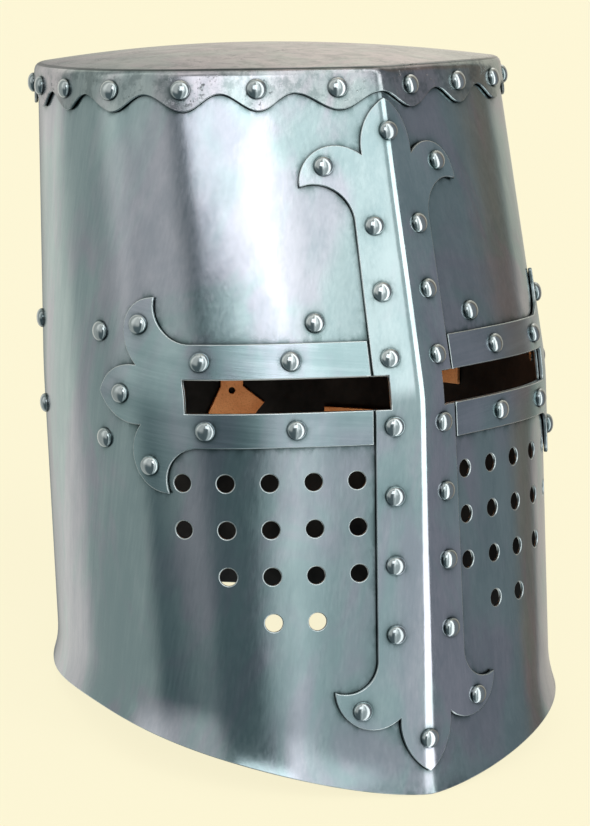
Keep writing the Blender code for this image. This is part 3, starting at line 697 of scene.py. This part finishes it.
def liner_object(hide):
    """The leather band inside: a strip over the slits, a deeper rear band, straps and tongues."""
    back = run_at(LINER_REAR_LOW)[-1]
    tongue = back - TONGUE_FROM_BACK
    neck = TONGUE_NECK / 2
    drop = LINER_REAR_LOW - TONGUE_LOW
    waist = TONGUE_LOW + drop * TONGUE_WAIST
    hip = TONGUE_LOW + drop * TONGUE_HIP
    edge = [
        (LINER_FRONT, LINER_TOP),
        (LINER_FRONT, LINER_STRIP_LOW),
        (LINER_REAR, LINER_STRIP_LOW),
        (LINER_REAR, LINER_REAR_LOW),
        (STRAP_START, LINER_REAR_LOW),
        (STRAP_START, STRAP_LOW),
        (STRAP_END, STRAP_LOW),
        (STRAP_END, STRAP_TOP),
        (STRAP_ROOT_END, STRAP_TOP),
        (STRAP_ROOT_END, LINER_REAR_LOW),
        (tongue - neck, LINER_REAR_LOW),
        (tongue - neck, waist),
        (tongue - TONGUE_HALF_WIDTH, hip),
        (tongue - neck, TONGUE_LOW),
        (tongue + TONGUE_HALF_WIDTH, TONGUE_LOW),
        (tongue + neck, waist),
        (tongue + neck, LINER_REAR_LOW),
        (back, LINER_REAR_LOW),
        (run_at(LINER_TOP)[-1], LINER_TOP),
    ]
    points = subdivided(edge, LEATHER_PITCH)
    loop = flat_of(points)
    seam_from = points.index(edge[-2])
    seam_to = points.index(edge[-1])
    loop[seam_from:seam_to + 1, 0] = FLAT_END
    lace = flat_of(hole(tongue, TONGUE_LOW + drop * LACE_SHARE, LACE_HOLE, LACE_SIDES))
    face = -WALL_SHEET - GAP
    arrays = sheet_arrays([loop, lace], face - LEATHER, face, LEATHER_PITCH, liner_drift)
    return smooth_object("helm_liner", *both_halves(*arrays), (hide, hide, hide))


def crown_object(materials):
    """The domed crown plate, rolled over into a scalloped skirt."""
    by_keel = np.linspace(0, CROWN_KEEL_TURN, CROWN_KEEL_COLUMNS)[:-1]
    t = np.concatenate((by_keel, np.linspace(CROWN_KEEL_TURN, 2, CROWN_COLUMNS)))
    count = len(t)
    flat = np.interp(t, T_FINE, BROW_RUN)
    run = run_at(SCALLOP_CUSP)
    edge = np.array([scallop_height(s) for s in np.interp(t, T_FINE, run)])
    slope = np.gradient(edge, np.interp(t, T_FINE, run))
    middle = np.array((0, (TOP_BACK - TOP_KEEL) / 2, WALL_TOP))
    away_plan = 1 / np.sqrt(1 + slope * slope)

    def rows_for(depth, sign):
        """Rows of points from the skirt's lower edge up, over the corner and in to the middle."""
        rows = []
        start = edge + EDGE_ROUND
        stop = WALL_TOP + depth - CROWN_TURN_RADIUS
        for share in np.linspace(0, 1, SKIRT_ROWS):
            spot, out, _, _ = place(flat, start + (stop - start) * share, depth)
            rows.append((spot, out * sign))
        top, out, _, up = place(flat, np.full(count, WALL_TOP), 0)
        corner = top + np.column_stack((out[:, :2], np.zeros(count))) * depth
        reach = middle[:2] - corner[:, :2]
        first = CROWN_TURN_RADIUS / np.linalg.norm(reach, axis=1)

        def dome(inward):
            spot = corner + np.column_stack((reach, np.zeros(count))) * inward[:, None]
            spot[:, 2] = WALL_TOP + depth + CROWN_RISE * (1 - (1 - inward) ** 2)
            tilt = 2 * CROWN_RISE * (1 - inward) / np.linalg.norm(reach, axis=1)
            toward = reach / np.linalg.norm(reach, axis=1)[:, None]
            face = np.column_stack((-toward * tilt[:, None], np.ones(count)))
            return spot, face / np.linalg.norm(face, axis=1)[:, None]

        begin, begin_face = rows[-1][0], rows[-1][1] * sign
        end, end_face = dome(first)
        knee = corner.copy()
        knee[:, 2] = end[:, 2]
        for share in CORNER_SHARES:
            spot = begin * (1 - share) ** 2 + knee * 2 * share * (1 - share) + end * share * share
            face = begin_face * (1 - share) + end_face * share
            rows.append((spot, sign * face / np.linalg.norm(face, axis=1)[:, None]))
        for share in np.linspace(0, 1, DOME_ROWS)[:-1]:
            spot, face = dome(first + (1 - first) * share)
            rows.append((spot, face * sign))
        return rows

    outer, inner = GAP + CROWN_SHEET, GAP
    outside, within = rows_for(outer, 1), rows_for(inner, -1)
    rims = []
    for share, depth, tilt in edge_rings(inner, outer):
        spot, out, along, up = place(flat, edge + EDGE_ROUND * share, depth)
        away = (along * slope[:, None] - up) * away_plan[:, None]
        rims.append((spot, edge_normals(out, away, tilt)))
    rows = outside[::-1] + rims + within
    peaks = []
    for depth, sign in ((outer, 1), (inner, -1)):
        peaks.append((middle + np.array((0, 0, depth + CROWN_RISE)), np.array((0, 0, sign))))
    points = np.vstack([r[0] for r in rows] + [p[0][None] for p in peaks])
    normals = np.vstack([r[1] for r in rows] + [np.array(p[1], float)[None] for p in peaks])
    faces, groups = [], []
    steel_rows = len(outside) + len(rims)
    for r in range(len(rows) - 1):
        for i in range(count - 1):
            a, b = r * count + i, (r + 1) * count + i
            faces.append((a, b, b + 1, a + 1))
            groups.append(1 if r >= steel_rows else 2 if r >= len(outside) else 0)
    last = (len(rows) - 1) * count
    top_peak, low_peak = len(points) - 2, len(points) - 1
    for i in range(count - 1):
        faces += [(i + 1, top_peak, i), (last + i, low_peak, last + i + 1)]
        groups += [0, 1]
    seam = np.concatenate([flat] * len(rows) + [np.zeros(2)])
    arrays = both_halves(points, normals, faces, groups, seam)
    return smooth_object("helm_crown", *arrays, materials)


def rivet_mesh(name, grip, skirt, surface):
    """A turned rivet: domed head, shank, and a hammered tail inside."""
    head, shank = RIVET_HEAD / 2, RIVET_SHANK / 2
    profile = [(0, RIVET_RISE)]
    for k in range(1, RIVET_HEAD_STEPS + 1):
        angle = math.pi / 2 * k / RIVET_HEAD_STEPS
        height = math.cos(angle) ** DOME_TALL_POWER * (1 - DOME_BRIM) + DOME_BRIM
        profile.append((head * math.sin(angle) ** DOME_WIDE_POWER, RIVET_RISE * height))
    profile += [(head * HEAD_UNDERSIDE, -skirt), (shank, -skirt), (shank, -grip)]
    profile += [(radius, -grip - below) for radius, below in TAIL_PROFILE]
    profile.append((0, -grip - RIVET_TAIL))
    bm = bmesh.new()
    top = bm.verts.new((0, 0, profile[0][1]))
    rings = []
    for radius, height in profile[1:-1]:
        angles = [2 * math.pi * k / RIVET_SIDES for k in range(RIVET_SIDES)]
        rings.append([bm.verts.new((radius * math.cos(a), radius * math.sin(a), height)) for a in angles])
    low = bm.verts.new((0, 0, profile[-1][1]))
    for k in range(RIVET_SIDES):
        j = (k + 1) % RIVET_SIDES
        bm.faces.new((top, rings[0][k], rings[0][j]))
        for one, other in zip(rings, rings[1:]):
            bm.faces.new((one[k], other[k], other[j], one[j]))
        bm.faces.new((rings[-1][k], low, rings[-1][j]))
    mesh = bpy.data.meshes.new(name)
    bm.to_mesh(mesh)
    bm.free()
    mesh.materials.append(surface)
    mesh.shade_smooth()
    mesh.set_sharp_from_angle(angle=RIVET_SHARP)
    return mesh


HAND = random.Random(7)
SIDES = (("right", 1), ("left", -1))


def seat(s, z, depth):
    """Where a rivet sits: its head's base on the sheet, a little uneven, as set by hand."""
    flat = flat_of([(abs(s), z)])
    spot, out, along, _ = place(flat[:, 0], flat[:, 1], depth)
    side = math.copysign(1, s)
    centre = Vector((side * spot[0][0], spot[0][1], spot[0][2]))
    normal = Vector((side * out[0][0] if s else 0, out[0][1], out[0][2])).normalized()
    across_way = Vector((along[0][0], side * along[0][1] if s else 0, 0))
    across_way = (across_way - normal * across_way.dot(normal)).normalized()
    turn = Matrix((across_way, normal.cross(across_way), normal)).transposed().to_4x4()
    tip = Matrix.Rotation(HAND.uniform(-RIVET_TIP, RIVET_TIP), 4, "X")
    tip = tip @ Matrix.Rotation(HAND.uniform(-RIVET_TIP, RIVET_TIP), 4, "Y")
    spin = Matrix.Rotation(HAND.uniform(0, 2 * math.pi), 4, "Z")
    wide, deep, tall = (HAND.uniform(*limits) for limits in (RIVET_WIDTHS, RIVET_WIDTHS, RIVET_HEIGHTS))
    size = Matrix.Diagonal((wide, deep, tall, 1))
    return STAND @ Matrix.Translation(centre) @ turn @ tip @ spin @ size


def add_rivet(name, mesh, s, z, depth, node=None):
    obj = bpy.data.objects.new(name, mesh.copy())
    bpy.context.scene.collection.objects.link(obj)
    obj.data.transform(seat(s, z, depth))
    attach(obj, "root")
    if node:
        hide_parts(node)
    return obj


class Nodes:
    """Short calls for making the nodes of a material or of the world."""

    def __init__(self, owner):
        self.owner = owner
        owner.use_nodes = True
        self.tree = owner.node_tree

    def fill(self, socket, value):
        if isinstance(value, bpy.types.NodeSocket):
            self.tree.links.new(value, socket)
        else:
            socket.default_value = value

    def add(self, kind, settings=None, **values):
        """One node. Its sockets are named as they are, with _ for a space, or by number as _0."""
        node = self.tree.nodes.new(kind)
        for key, value in (settings or {}).items():
            setattr(node, key, value)
        for key, value in values.items():
            number = key[1:]
            self.fill(node.inputs[int(number) if number.isdigit() else key.replace("_", " ")], value)
        return node

    def shade(self, **values):
        """Fills sockets of the material's main shader."""
        for key, value in values.items():
            self.fill(self.tree.nodes["Principled BSDF"].inputs[key.replace("_", " ")], value)

    def spot(self):
        return self.add("ShaderNodeTexCoord").outputs["Object"]

    def scaled(self, scale):
        return self.add("ShaderNodeMapping", Vector=self.spot(), Scale=scale).outputs["Vector"]

    def noise(self, scale, detail=4.0, roughness=0.55, distortion=0.0):
        """Noise whose scale counts its waves along X, Y and Z in a metre."""
        made = self.add("ShaderNodeTexNoise", Vector=self.scaled(scale), Scale=1.0, Detail=detail,
                        Roughness=roughness, Distortion=distortion)
        return made.outputs["Fac"]

    def span(self, value, low, high, new_low, new_high, smooth=False):
        settings = {"interpolation_type": "SMOOTHSTEP" if smooth else "LINEAR"}
        limits = {"From_Min": low, "From_Max": high, "To_Min": new_low, "To_Max": new_high}
        return self.add("ShaderNodeMapRange", settings, Value=value, **limits).outputs["Result"]

    def math(self, operation, a, b=0):
        return self.add("ShaderNodeMath", {"operation": operation}, _0=a, _1=b).outputs[0]

    def mix(self, factor, a, b, blend="MIX"):
        settings = {"data_type": "RGBA", "blend_type": blend}
        return self.add("ShaderNodeMix", settings, _0=factor, _6=a, _7=b).outputs[2]

    def vector(self, operation, a, **other):
        node = self.add("ShaderNodeVectorMath", {"operation": operation}, _0=a, **other)
        return node.outputs["Value" if operation == "DOT_PRODUCT" else "Vector"]

    def helm_height(self):
        """Height above the keel's foot, with the helm's crown level."""
        up = self.vector("DOT_PRODUCT", self.spot(), _1=STAND_TURN[:, 2])
        return self.math("SUBTRACT", up, float(STAND_TURN[:, 2] @ STAND_SHIFT))

    def nearness(self, reach, low, high):
        """How closely other surfaces stand round a point, from 0 in the open to 1."""
        found = self.add("ShaderNodeAmbientOcclusion", {"samples": 8}, Distance=reach)
        return self.span(found.outputs["AO"], low, high, 1, 0, True)

    def bump(self, height, distance, after=None):
        values = {} if after is None else {"Normal": after}
        return self.add("ShaderNodeBump", Height=height, Distance=distance, **values).outputs["Normal"]


# Colours that the steel takes in places; two of them are painted shade, near other parts and in crevices
TEAL_TINT = (0.93, 0.99, 1.0, 1)
MAUVE_TINT = (1.06, 0.93, 1.02, 1)
MOTTLED_SHADE = (0.15, 0.23, 0.23, 1)
CREVICE_SHADE = (0.035, 0.04, 0.04, 1)
SMUDGE = (0.20, 0.25, 0.25, 1)
SPECK = (0.05, 0.045, 0.04, 1)
JOINT_LINE = (0.03, 0.05, 0.05, 1)
JOINT_HEIGHT = WALL_TOP + 1.9 * MM
JOINT_CORE = 0.25 * MM
JOINT_EDGE = 0.6 * MM
# How far the two painted shades look for other surfaces
MOTTLED_SHADE_REACH = 9 * MM
CREVICE_SHADE_REACH = 3.2 * MM

# Depths of the steel's relief, of the inner wall's and of the leather's
WAVE_DEPTH = 1.3 * MM
DENT_DEPTH = 0.07 * MM
BRUSH_DEPTH = 0.012 * MM
PIT_DEPTH = 0.25 * MM
SCALE_DEPTH = 0.1 * MM
GRAIN_DEPTH = 0.12 * MM
CREASE_DEPTH = 0.8 * MM


def steel_material(name, dark, light, rough, lying=False, pits=0.0, wave=1.0, hued=True):
    """Brushed and rubbed steel, darkened with painted shade near other parts and in crevices.

    lying turns the brushing level. pits adds dark rust specks, smudges and the line where the crown's
    top meets its skirt. hued adds patches of teal and mauve.
    """
    n = Nodes(bpy.data.materials.new(name))
    along, fine = (18, 900) if lying else (700, 14)
    brushed = n.noise((along, along, fine), detail=3.0, roughness=0.6)
    streaks = n.noise((14, 14, 90) if lying else (85, 85, 7), detail=4.0, roughness=0.6, distortion=0.3)
    cloudy = n.noise((13, 13, 8), detail=5.0, roughness=0.6, distortion=0.6)
    smears = n.noise((160, 160, 90), detail=3.0, roughness=0.6)
    tone = n.math("ADD", n.math("MULTIPLY", cloudy, 0.5), n.math("MULTIPLY", streaks, 0.35))
    tone = n.math("ADD", tone, n.math("MULTIPLY", smears, 0.15))
    tone = n.math("ADD", tone, n.span(brushed, 0.3, 0.7, -0.04, 0.04))
    colour = n.mix(n.span(tone, 0.36, 0.64, 0, 1, True), dark, light)
    roughness = n.span(tone, 0.35, 0.65, rough + 0.05, rough - 0.04)
    roughness = n.math("ADD", roughness, n.span(brushed, 0.3, 0.7, -0.03, 0.04))
    if hued:
        patches = n.noise((24, 24, 11), detail=3.0, roughness=0.6, distortion=0.8)
        hue = n.mix(n.span(patches, 0.40, 0.60, 0, 1, True), TEAL_TINT, MAUVE_TINT)
        colour = n.mix(1.0, colour, hue, "MULTIPLY")
    # Painted shade: a darker teal where other surfaces stand close, such as round rivets and plate edges,
    # broken up by random mottling
    shade_mottling = n.span(smears, 0.42, 0.58, 0.15, 0.75, True)
    colour = n.mix(n.math("MULTIPLY", n.nearness(MOTTLED_SHADE_REACH, 0.80, 0.97), shade_mottling), colour, MOTTLED_SHADE)
    # Painted shade: near black in crevices, along plate edges and round rivets, where other surfaces
    # stand very close
    colour = n.mix(n.math("MULTIPLY", n.nearness(CREVICE_SHADE_REACH, 0.45, 0.92), 0.85), colour, CREVICE_SHADE)
    normal = n.bump(n.noise((15, 15, 7), detail=2.0, roughness=0.5), WAVE_DEPTH * wave)
    normal = n.bump(n.noise((60, 60, 34), detail=3.0, roughness=0.5), DENT_DEPTH * wave, normal)
    normal = n.bump(brushed, BRUSH_DEPTH, normal)
    if pits:
        specks = n.noise((620, 620, 620), detail=4.0, roughness=0.65)
        patches = n.span(n.noise((48, 48, 48), detail=4.0, roughness=0.7), 0.50, 0.68, 0, 1, True)
        specks = n.math("MULTIPLY", n.span(specks, 0.54, 0.72, 0, 1, True), patches)
        smudges = n.noise((120, 120, 120), detail=5.0, roughness=0.7)
        colour = n.mix(n.span(smudges, 0.47, 0.62, 0, 0.5, True), colour, SMUDGE)
        specks = n.math("MULTIPLY", specks, pits)
        colour = n.mix(specks, colour, SPECK)
        roughness = n.math("ADD", roughness, n.math("MULTIPLY", specks, 0.35))
        off = n.math("ABSOLUTE", n.math("SUBTRACT", n.helm_height(), JOINT_HEIGHT))
        colour = n.mix(n.span(off, JOINT_CORE, JOINT_EDGE, 0.85, 0, True), colour, JOINT_LINE)
        normal = n.bump(specks, -PIT_DEPTH, normal)
    n.shade(Metallic=1.0, Base_Color=colour, Roughness=roughness, Normal=normal)
    return n.owner


def dark_material():
    """The sheets' inside: dull and near black, as painted shade for the helm's dark inside, with two dark
    tones mixed at random and fine scale bumps.
    """
    n = Nodes(bpy.data.materials.new("inner_steel"))
    cloudy = n.noise((30, 30, 24), detail=6.0, roughness=0.65)
    # Both tones are near black: painted shade for the helm's shaded inside
    shade_black, scale = (0.004, 0.004, 0.004, 1), (0.024, 0.022, 0.020, 1)
    n.shade(
        Metallic=0.4,
        Base_Color=n.mix(n.span(cloudy, 0.35, 0.65, 0, 1), shade_black, scale),
        Roughness=n.span(cloudy, 0.3, 0.7, 0.75, 0.5),
        Normal=n.bump(n.noise((400, 400, 400)), SCALE_DEPTH),
    )
    return n.owner


def leather_material():
    """Vegetable-tanned leather with grain, pores and rubbed patches."""
    n = Nodes(bpy.data.materials.new("liner_leather"))
    cloudy = n.noise((38, 38, 38), detail=5.0, roughness=0.62)
    grain = n.add("ShaderNodeTexVoronoi", {"feature": "F1"}, Vector=n.scaled((1, 1, 1)), Scale=1100.0)
    pores = n.noise((1500, 1500, 1500), detail=2.0)
    colour = n.mix(n.span(cloudy, 0.3, 0.7, 0, 1), (0.46, 0.16, 0.05, 1), (0.78, 0.36, 0.15, 1))
    colour = n.mix(n.span(pores, 0.5, 0.7, 0, 0.45), colour, (0.26, 0.09, 0.03, 1))
    normal = n.bump(cloudy, CREASE_DEPTH, n.bump(grain.outputs["Distance"], GRAIN_DEPTH))
    n.shade(Base_Color=colour, Roughness=n.span(cloudy, 0.3, 0.7, 0.72, 0.52), Normal=normal)
    return n.owner


def floor_material():
    """A pale, even floor that still takes a soft shadow."""
    n = Nodes(bpy.data.materials.new("floor_paper"))
    glow = n.add("ShaderNodeEmission", Color=(0.973, 0.915, 0.665, 1), Strength=0.93)
    paper = n.add("ShaderNodeBsdfDiffuse", Color=(0.12, 0.11, 0.08, 1))
    both = n.add("ShaderNodeAddShader", _0=glow.outputs[0], _1=paper.outputs[0])
    n.fill(n.tree.nodes["Material Output"].inputs["Surface"], both.outputs[0])
    n.tree.nodes.remove(n.tree.nodes["Principled BSDF"])
    n.owner.cycles.emission_sampling = "NONE"
    return n.owner


# Soft light panels all round: (azimuth from the front towards +X, half width of the core, half
# width with its soft edge, elevations where it starts and is full, strength, colour), in degrees
PANELS = [
    (2, 14, 20, -89, -80, 0.36, (0.92, 1.0, 1.0)),
    (31, 11, 15, -89, -80, 1.5, (0.98, 1.0, 1.0)),
    (-4, 4, 9, 12, 24, 0.55, (0.98, 1.0, 1.0)),
    (-17.5, 2, 5.5, -4, 24, 0.85, (1.0, 0.99, 0.97)),
    (-18.5, 3, 10, -89, -80, 0.34, (0.92, 1.0, 1.0)),
    (-90, 26, 42, -12, 12, 0.42, (1.0, 0.99, 0.95)),
    (-145, 34, 52, -89, -80, 0.27, (1.0, 0.99, 0.92)),
    (182, 6, 24, -89, -80, 0.38, (1.0, 0.92, 0.80)),
    (153, 9, 19, -89, -80, 0.14, (1.0, 0.90, 0.80)),
    (152, 10, 20, -16, -6, 0.10, (1.0, 0.84, 0.76)),
    (66, 14, 24, -89, -80, 0.10, (1.0, 0.90, 1.0)),
    (92, 4, 9, -89, -80, 0.11, (1.0, 0.42, 0.10)),
    (128, 20, 31, -89, -80, 0.45, (1.0, 0.87, 0.70)),
    (0, 89, 90, 48, 70, 0.40, (0.98, 0.95, 0.88)),
]
SURROUND = (0.090, 0.122, 0.132)
BACKDROP = (0.973, 0.921, 0.672, 1)

# Area lights: place, aim, width, height, power, colour
KEY_LIGHT = ((-1.2, -1.8, 1.9), (0, 0, 0.15), 1.2, 1.2, 7, (0.95, 0.98, 1.0))
FILL_LIGHT = ((1.3, 1.5, 1.6), (0, 0, 0.15), 1.0, 1.4, 3, (1.0, 0.95, 0.9))
INNER_LIGHT = ((0, -0.03, 0.05), (0, 0.11, 0.16), 0.05, 0.05, 0.12, (1.0, 0.93, 0.85))


def studio_world():
    """Light for the steel to mirror: dim surroundings with soft upright panels."""
    n = Nodes(bpy.data.worlds.new("studio"))
    bpy.context.scene.world = n.owner
    n.tree.nodes.clear()
    way = n.add("ShaderNodeTexCoord").outputs["Generated"]
    level = n.vector("NORMALIZE", n.vector("MULTIPLY", way, _1=(1, 1, 0)))
    height = n.add("ShaderNodeSeparateXYZ", _0=way).outputs["Z"]
    light = SURROUND
    for azimuth, core, edge, low, high, strength, colour in PANELS:
        angle = math.radians(azimuth)
        toward = n.vector("DOT_PRODUCT", level, _1=(math.sin(angle), -math.cos(angle), 0))
        soft = n.span(toward, math.cos(math.radians(edge)), math.cos(math.radians(core)), 0, 1, True)
        rising = n.span(height, math.sin(math.radians(low)), math.sin(math.radians(high)), 0, 1, True)
        glow = n.vector("SCALE", [c * strength for c in colour], Scale=n.math("MULTIPLY", soft, rising))
        light = n.vector("ADD", light, _1=glow)
    studio = n.add("ShaderNodeBackground", Color=light)
    backdrop = n.add("ShaderNodeBackground", Color=BACKDROP)
    seen = n.add("ShaderNodeLightPath").outputs["Is Camera Ray"]
    shown = n.add("ShaderNodeMixShader", _0=seen, _1=studio.outputs[0], _2=backdrop.outputs[0])
    n.add("ShaderNodeOutputWorld", Surface=shown.outputs[0])


def softbox(name, place_at, aim, width, height, power, colour):
    light = bpy.data.lights.new(name, "AREA")
    light.shape = "RECTANGLE"
    light.size, light.size_y = width, height
    light.energy = power
    light.color = colour
    obj = bpy.data.objects.new(name, light)
    bpy.context.scene.collection.objects.link(obj)
    obj.location = place_at
    obj.rotation_euler = (Vector(aim) - Vector(place_at)).to_track_quat("-Z", "Y").to_euler()
    return obj


def add_floor():
    mesh = bpy.data.meshes.new("floor")
    corners = [(-1, -1), (1, -1), (1, 1), (-1, 1)]
    mesh.from_pydata([(x * FLOOR_HALF, y * FLOOR_HALF, 0) for x, y in corners], [], [(0, 1, 2, 3)])
    mesh.materials.append(floor_material())
    floor = bpy.data.objects.new("floor", mesh)
    bpy.context.scene.collection.objects.link(floor)
    floor.location.z = -FLOOR_DROP
    floor.visible_glossy = False
    floor.visible_diffuse = False


def add_camera():
    az, el = CAMERA_AZIMUTH, CAMERA_ELEVATION
    back = Vector((math.sin(az) * math.cos(el), -math.cos(az) * math.cos(el), math.sin(el)))
    right = Vector((math.cos(az), math.sin(az), 0))
    up = back.cross(right)
    c, s = math.cos(CAMERA_ROLL), math.sin(CAMERA_ROLL)
    right, up = right * c + up * s, up * c - right * s
    turn = Matrix((right, up, back)).transposed().to_4x4()
    data = bpy.data.cameras.new("camera")
    data.lens = CAMERA_LENS
    data.sensor_width = CAMERA_SENSOR
    data.clip_end = CAMERA_REACH
    camera = bpy.data.objects.new("camera", data)
    bpy.context.scene.collection.objects.link(camera)
    camera.matrix_world = STAND @ Matrix.Translation(CAMERA_PLACE) @ turn
    bpy.context.scene.camera = camera


def dress(obj, slot, *nodes):
    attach(obj, "root")
    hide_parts(*nodes)


add_camera()
add_floor()
studio_world()
softbox("key", *KEY_LIGHT)
softbox("fill", *FILL_LIGHT)
inner_light = softbox("inner", *INNER_LIGHT)
inner_light.visible_camera = False
inner_light.visible_glossy = False
bpy.context.scene.view_settings.view_transform = "Standard"

wall_steel = steel_material(
    "wall_steel", (0.46, 0.55, 0.56, 1), (0.60, 0.68, 0.68, 1), 0.16)
plate_steel = steel_material(
    "plate_steel", (0.58, 0.69, 0.70, 1), (0.78, 0.86, 0.86, 1), 0.11, wave=0.7)
arm_steel = steel_material(
    "arm_steel", (0.44, 0.56, 0.57, 1), (0.62, 0.73, 0.74, 1), 0.20, lying=True, wave=0.6)
crown_steel = steel_material(
    "crown_steel", (0.42, 0.47, 0.47, 1), (0.66, 0.69, 0.67, 1), 0.17, pits=0.8, wave=1.4)
rivet_steel = steel_material(
    "rivet_steel", (0.55, 0.60, 0.61, 1), (0.78, 0.82, 0.82, 1), 0.13, wave=0.2, hued=False)
# Painted highlight: the sheets' rounded edge faces take a paler steel, so they show as a pale rim line
edge_highlight_steel = steel_material(
    "edge_highlight_steel", (0.70, 0.77, 0.78, 1), (0.92, 0.97, 0.97, 1), 0.30, wave=0.2, hued=False)
inner_steel = dark_material()
hide = leather_material()

dress(wall_object((wall_steel, inner_steel, edge_highlight_steel)), "wall", "wall")
dress(crown_object((crown_steel, inner_steel, edge_highlight_steel)), "crown", "crown")
dress(bar_object((plate_steel, inner_steel, edge_highlight_steel)), "plate", "cross_bar")
arm_materials = (arm_steel, inner_steel, edge_highlight_steel)
right_arm = arm_arrays()
dress(smooth_object("helm_arm_right", *right_arm, arm_materials), "plate", "arm_right")
dress(smooth_object("helm_arm_left", *across(*right_arm), arm_materials), "plate", "arm_left")
dress(liner_object(hide), "leather", "liner")

plate_face = GAP + PLATE_SHEET
plate_rivet = rivet_mesh("plate_rivet", plate_face + GAP + WALL_SHEET, 0.3 * MM, rivet_steel)
keel_rivet = rivet_mesh("keel_rivet", plate_face + GAP + WALL_SHEET, 1.5 * MM, rivet_steel)
liner_rivet = rivet_mesh("liner_rivet", WALL_SHEET + GAP + LEATHER + GAP, 0.2 * MM, rivet_steel)
wall_rivet = rivet_mesh("wall_rivet", WALL_SHEET + GAP, 0.2 * MM, rivet_steel)
crown_rivet = rivet_mesh("crown_rivet", CROWN_SHEET + GAP + WALL_SHEET, 0.2 * MM, rivet_steel)
for family, mesh, places, depth in (
    ("bar_rivet", plate_rivet, bar_rivets(), plate_face),
    ("arm_rivet", plate_rivet, arm_rivets(), plate_face),
    ("liner_rivet", liner_rivet, LINER_RIVETS, 0),
    ("side_rivet", wall_rivet, SIDE_RIVETS, 0),
):
    for number, (s, z) in enumerate(places, 1):
        for label, side in SIDES:
            node = f"{family}_{label}_{number}"
            add_rivet(f"helm_{node}", mesh, side * s, z, depth, node)
for number, (s, z) in enumerate(keel_rivets(), 1):
    node = f"bar_rivet_keel_{number}"
    add_rivet(f"helm_{node}", keel_rivet, s, z, plate_face, node)
for number, (s, z) in enumerate(crown_rivets(), 1):
    for label, side in SIDES:
        add_rivet(f"helm_crown_rivet_{label}_{number}", crown_rivet, side * s, z, GAP + CROWN_SHEET)
for mesh in (plate_rivet, keel_rivet, liner_rivet, wall_rivet, crown_rivet):
    bpy.data.meshes.remove(mesh)
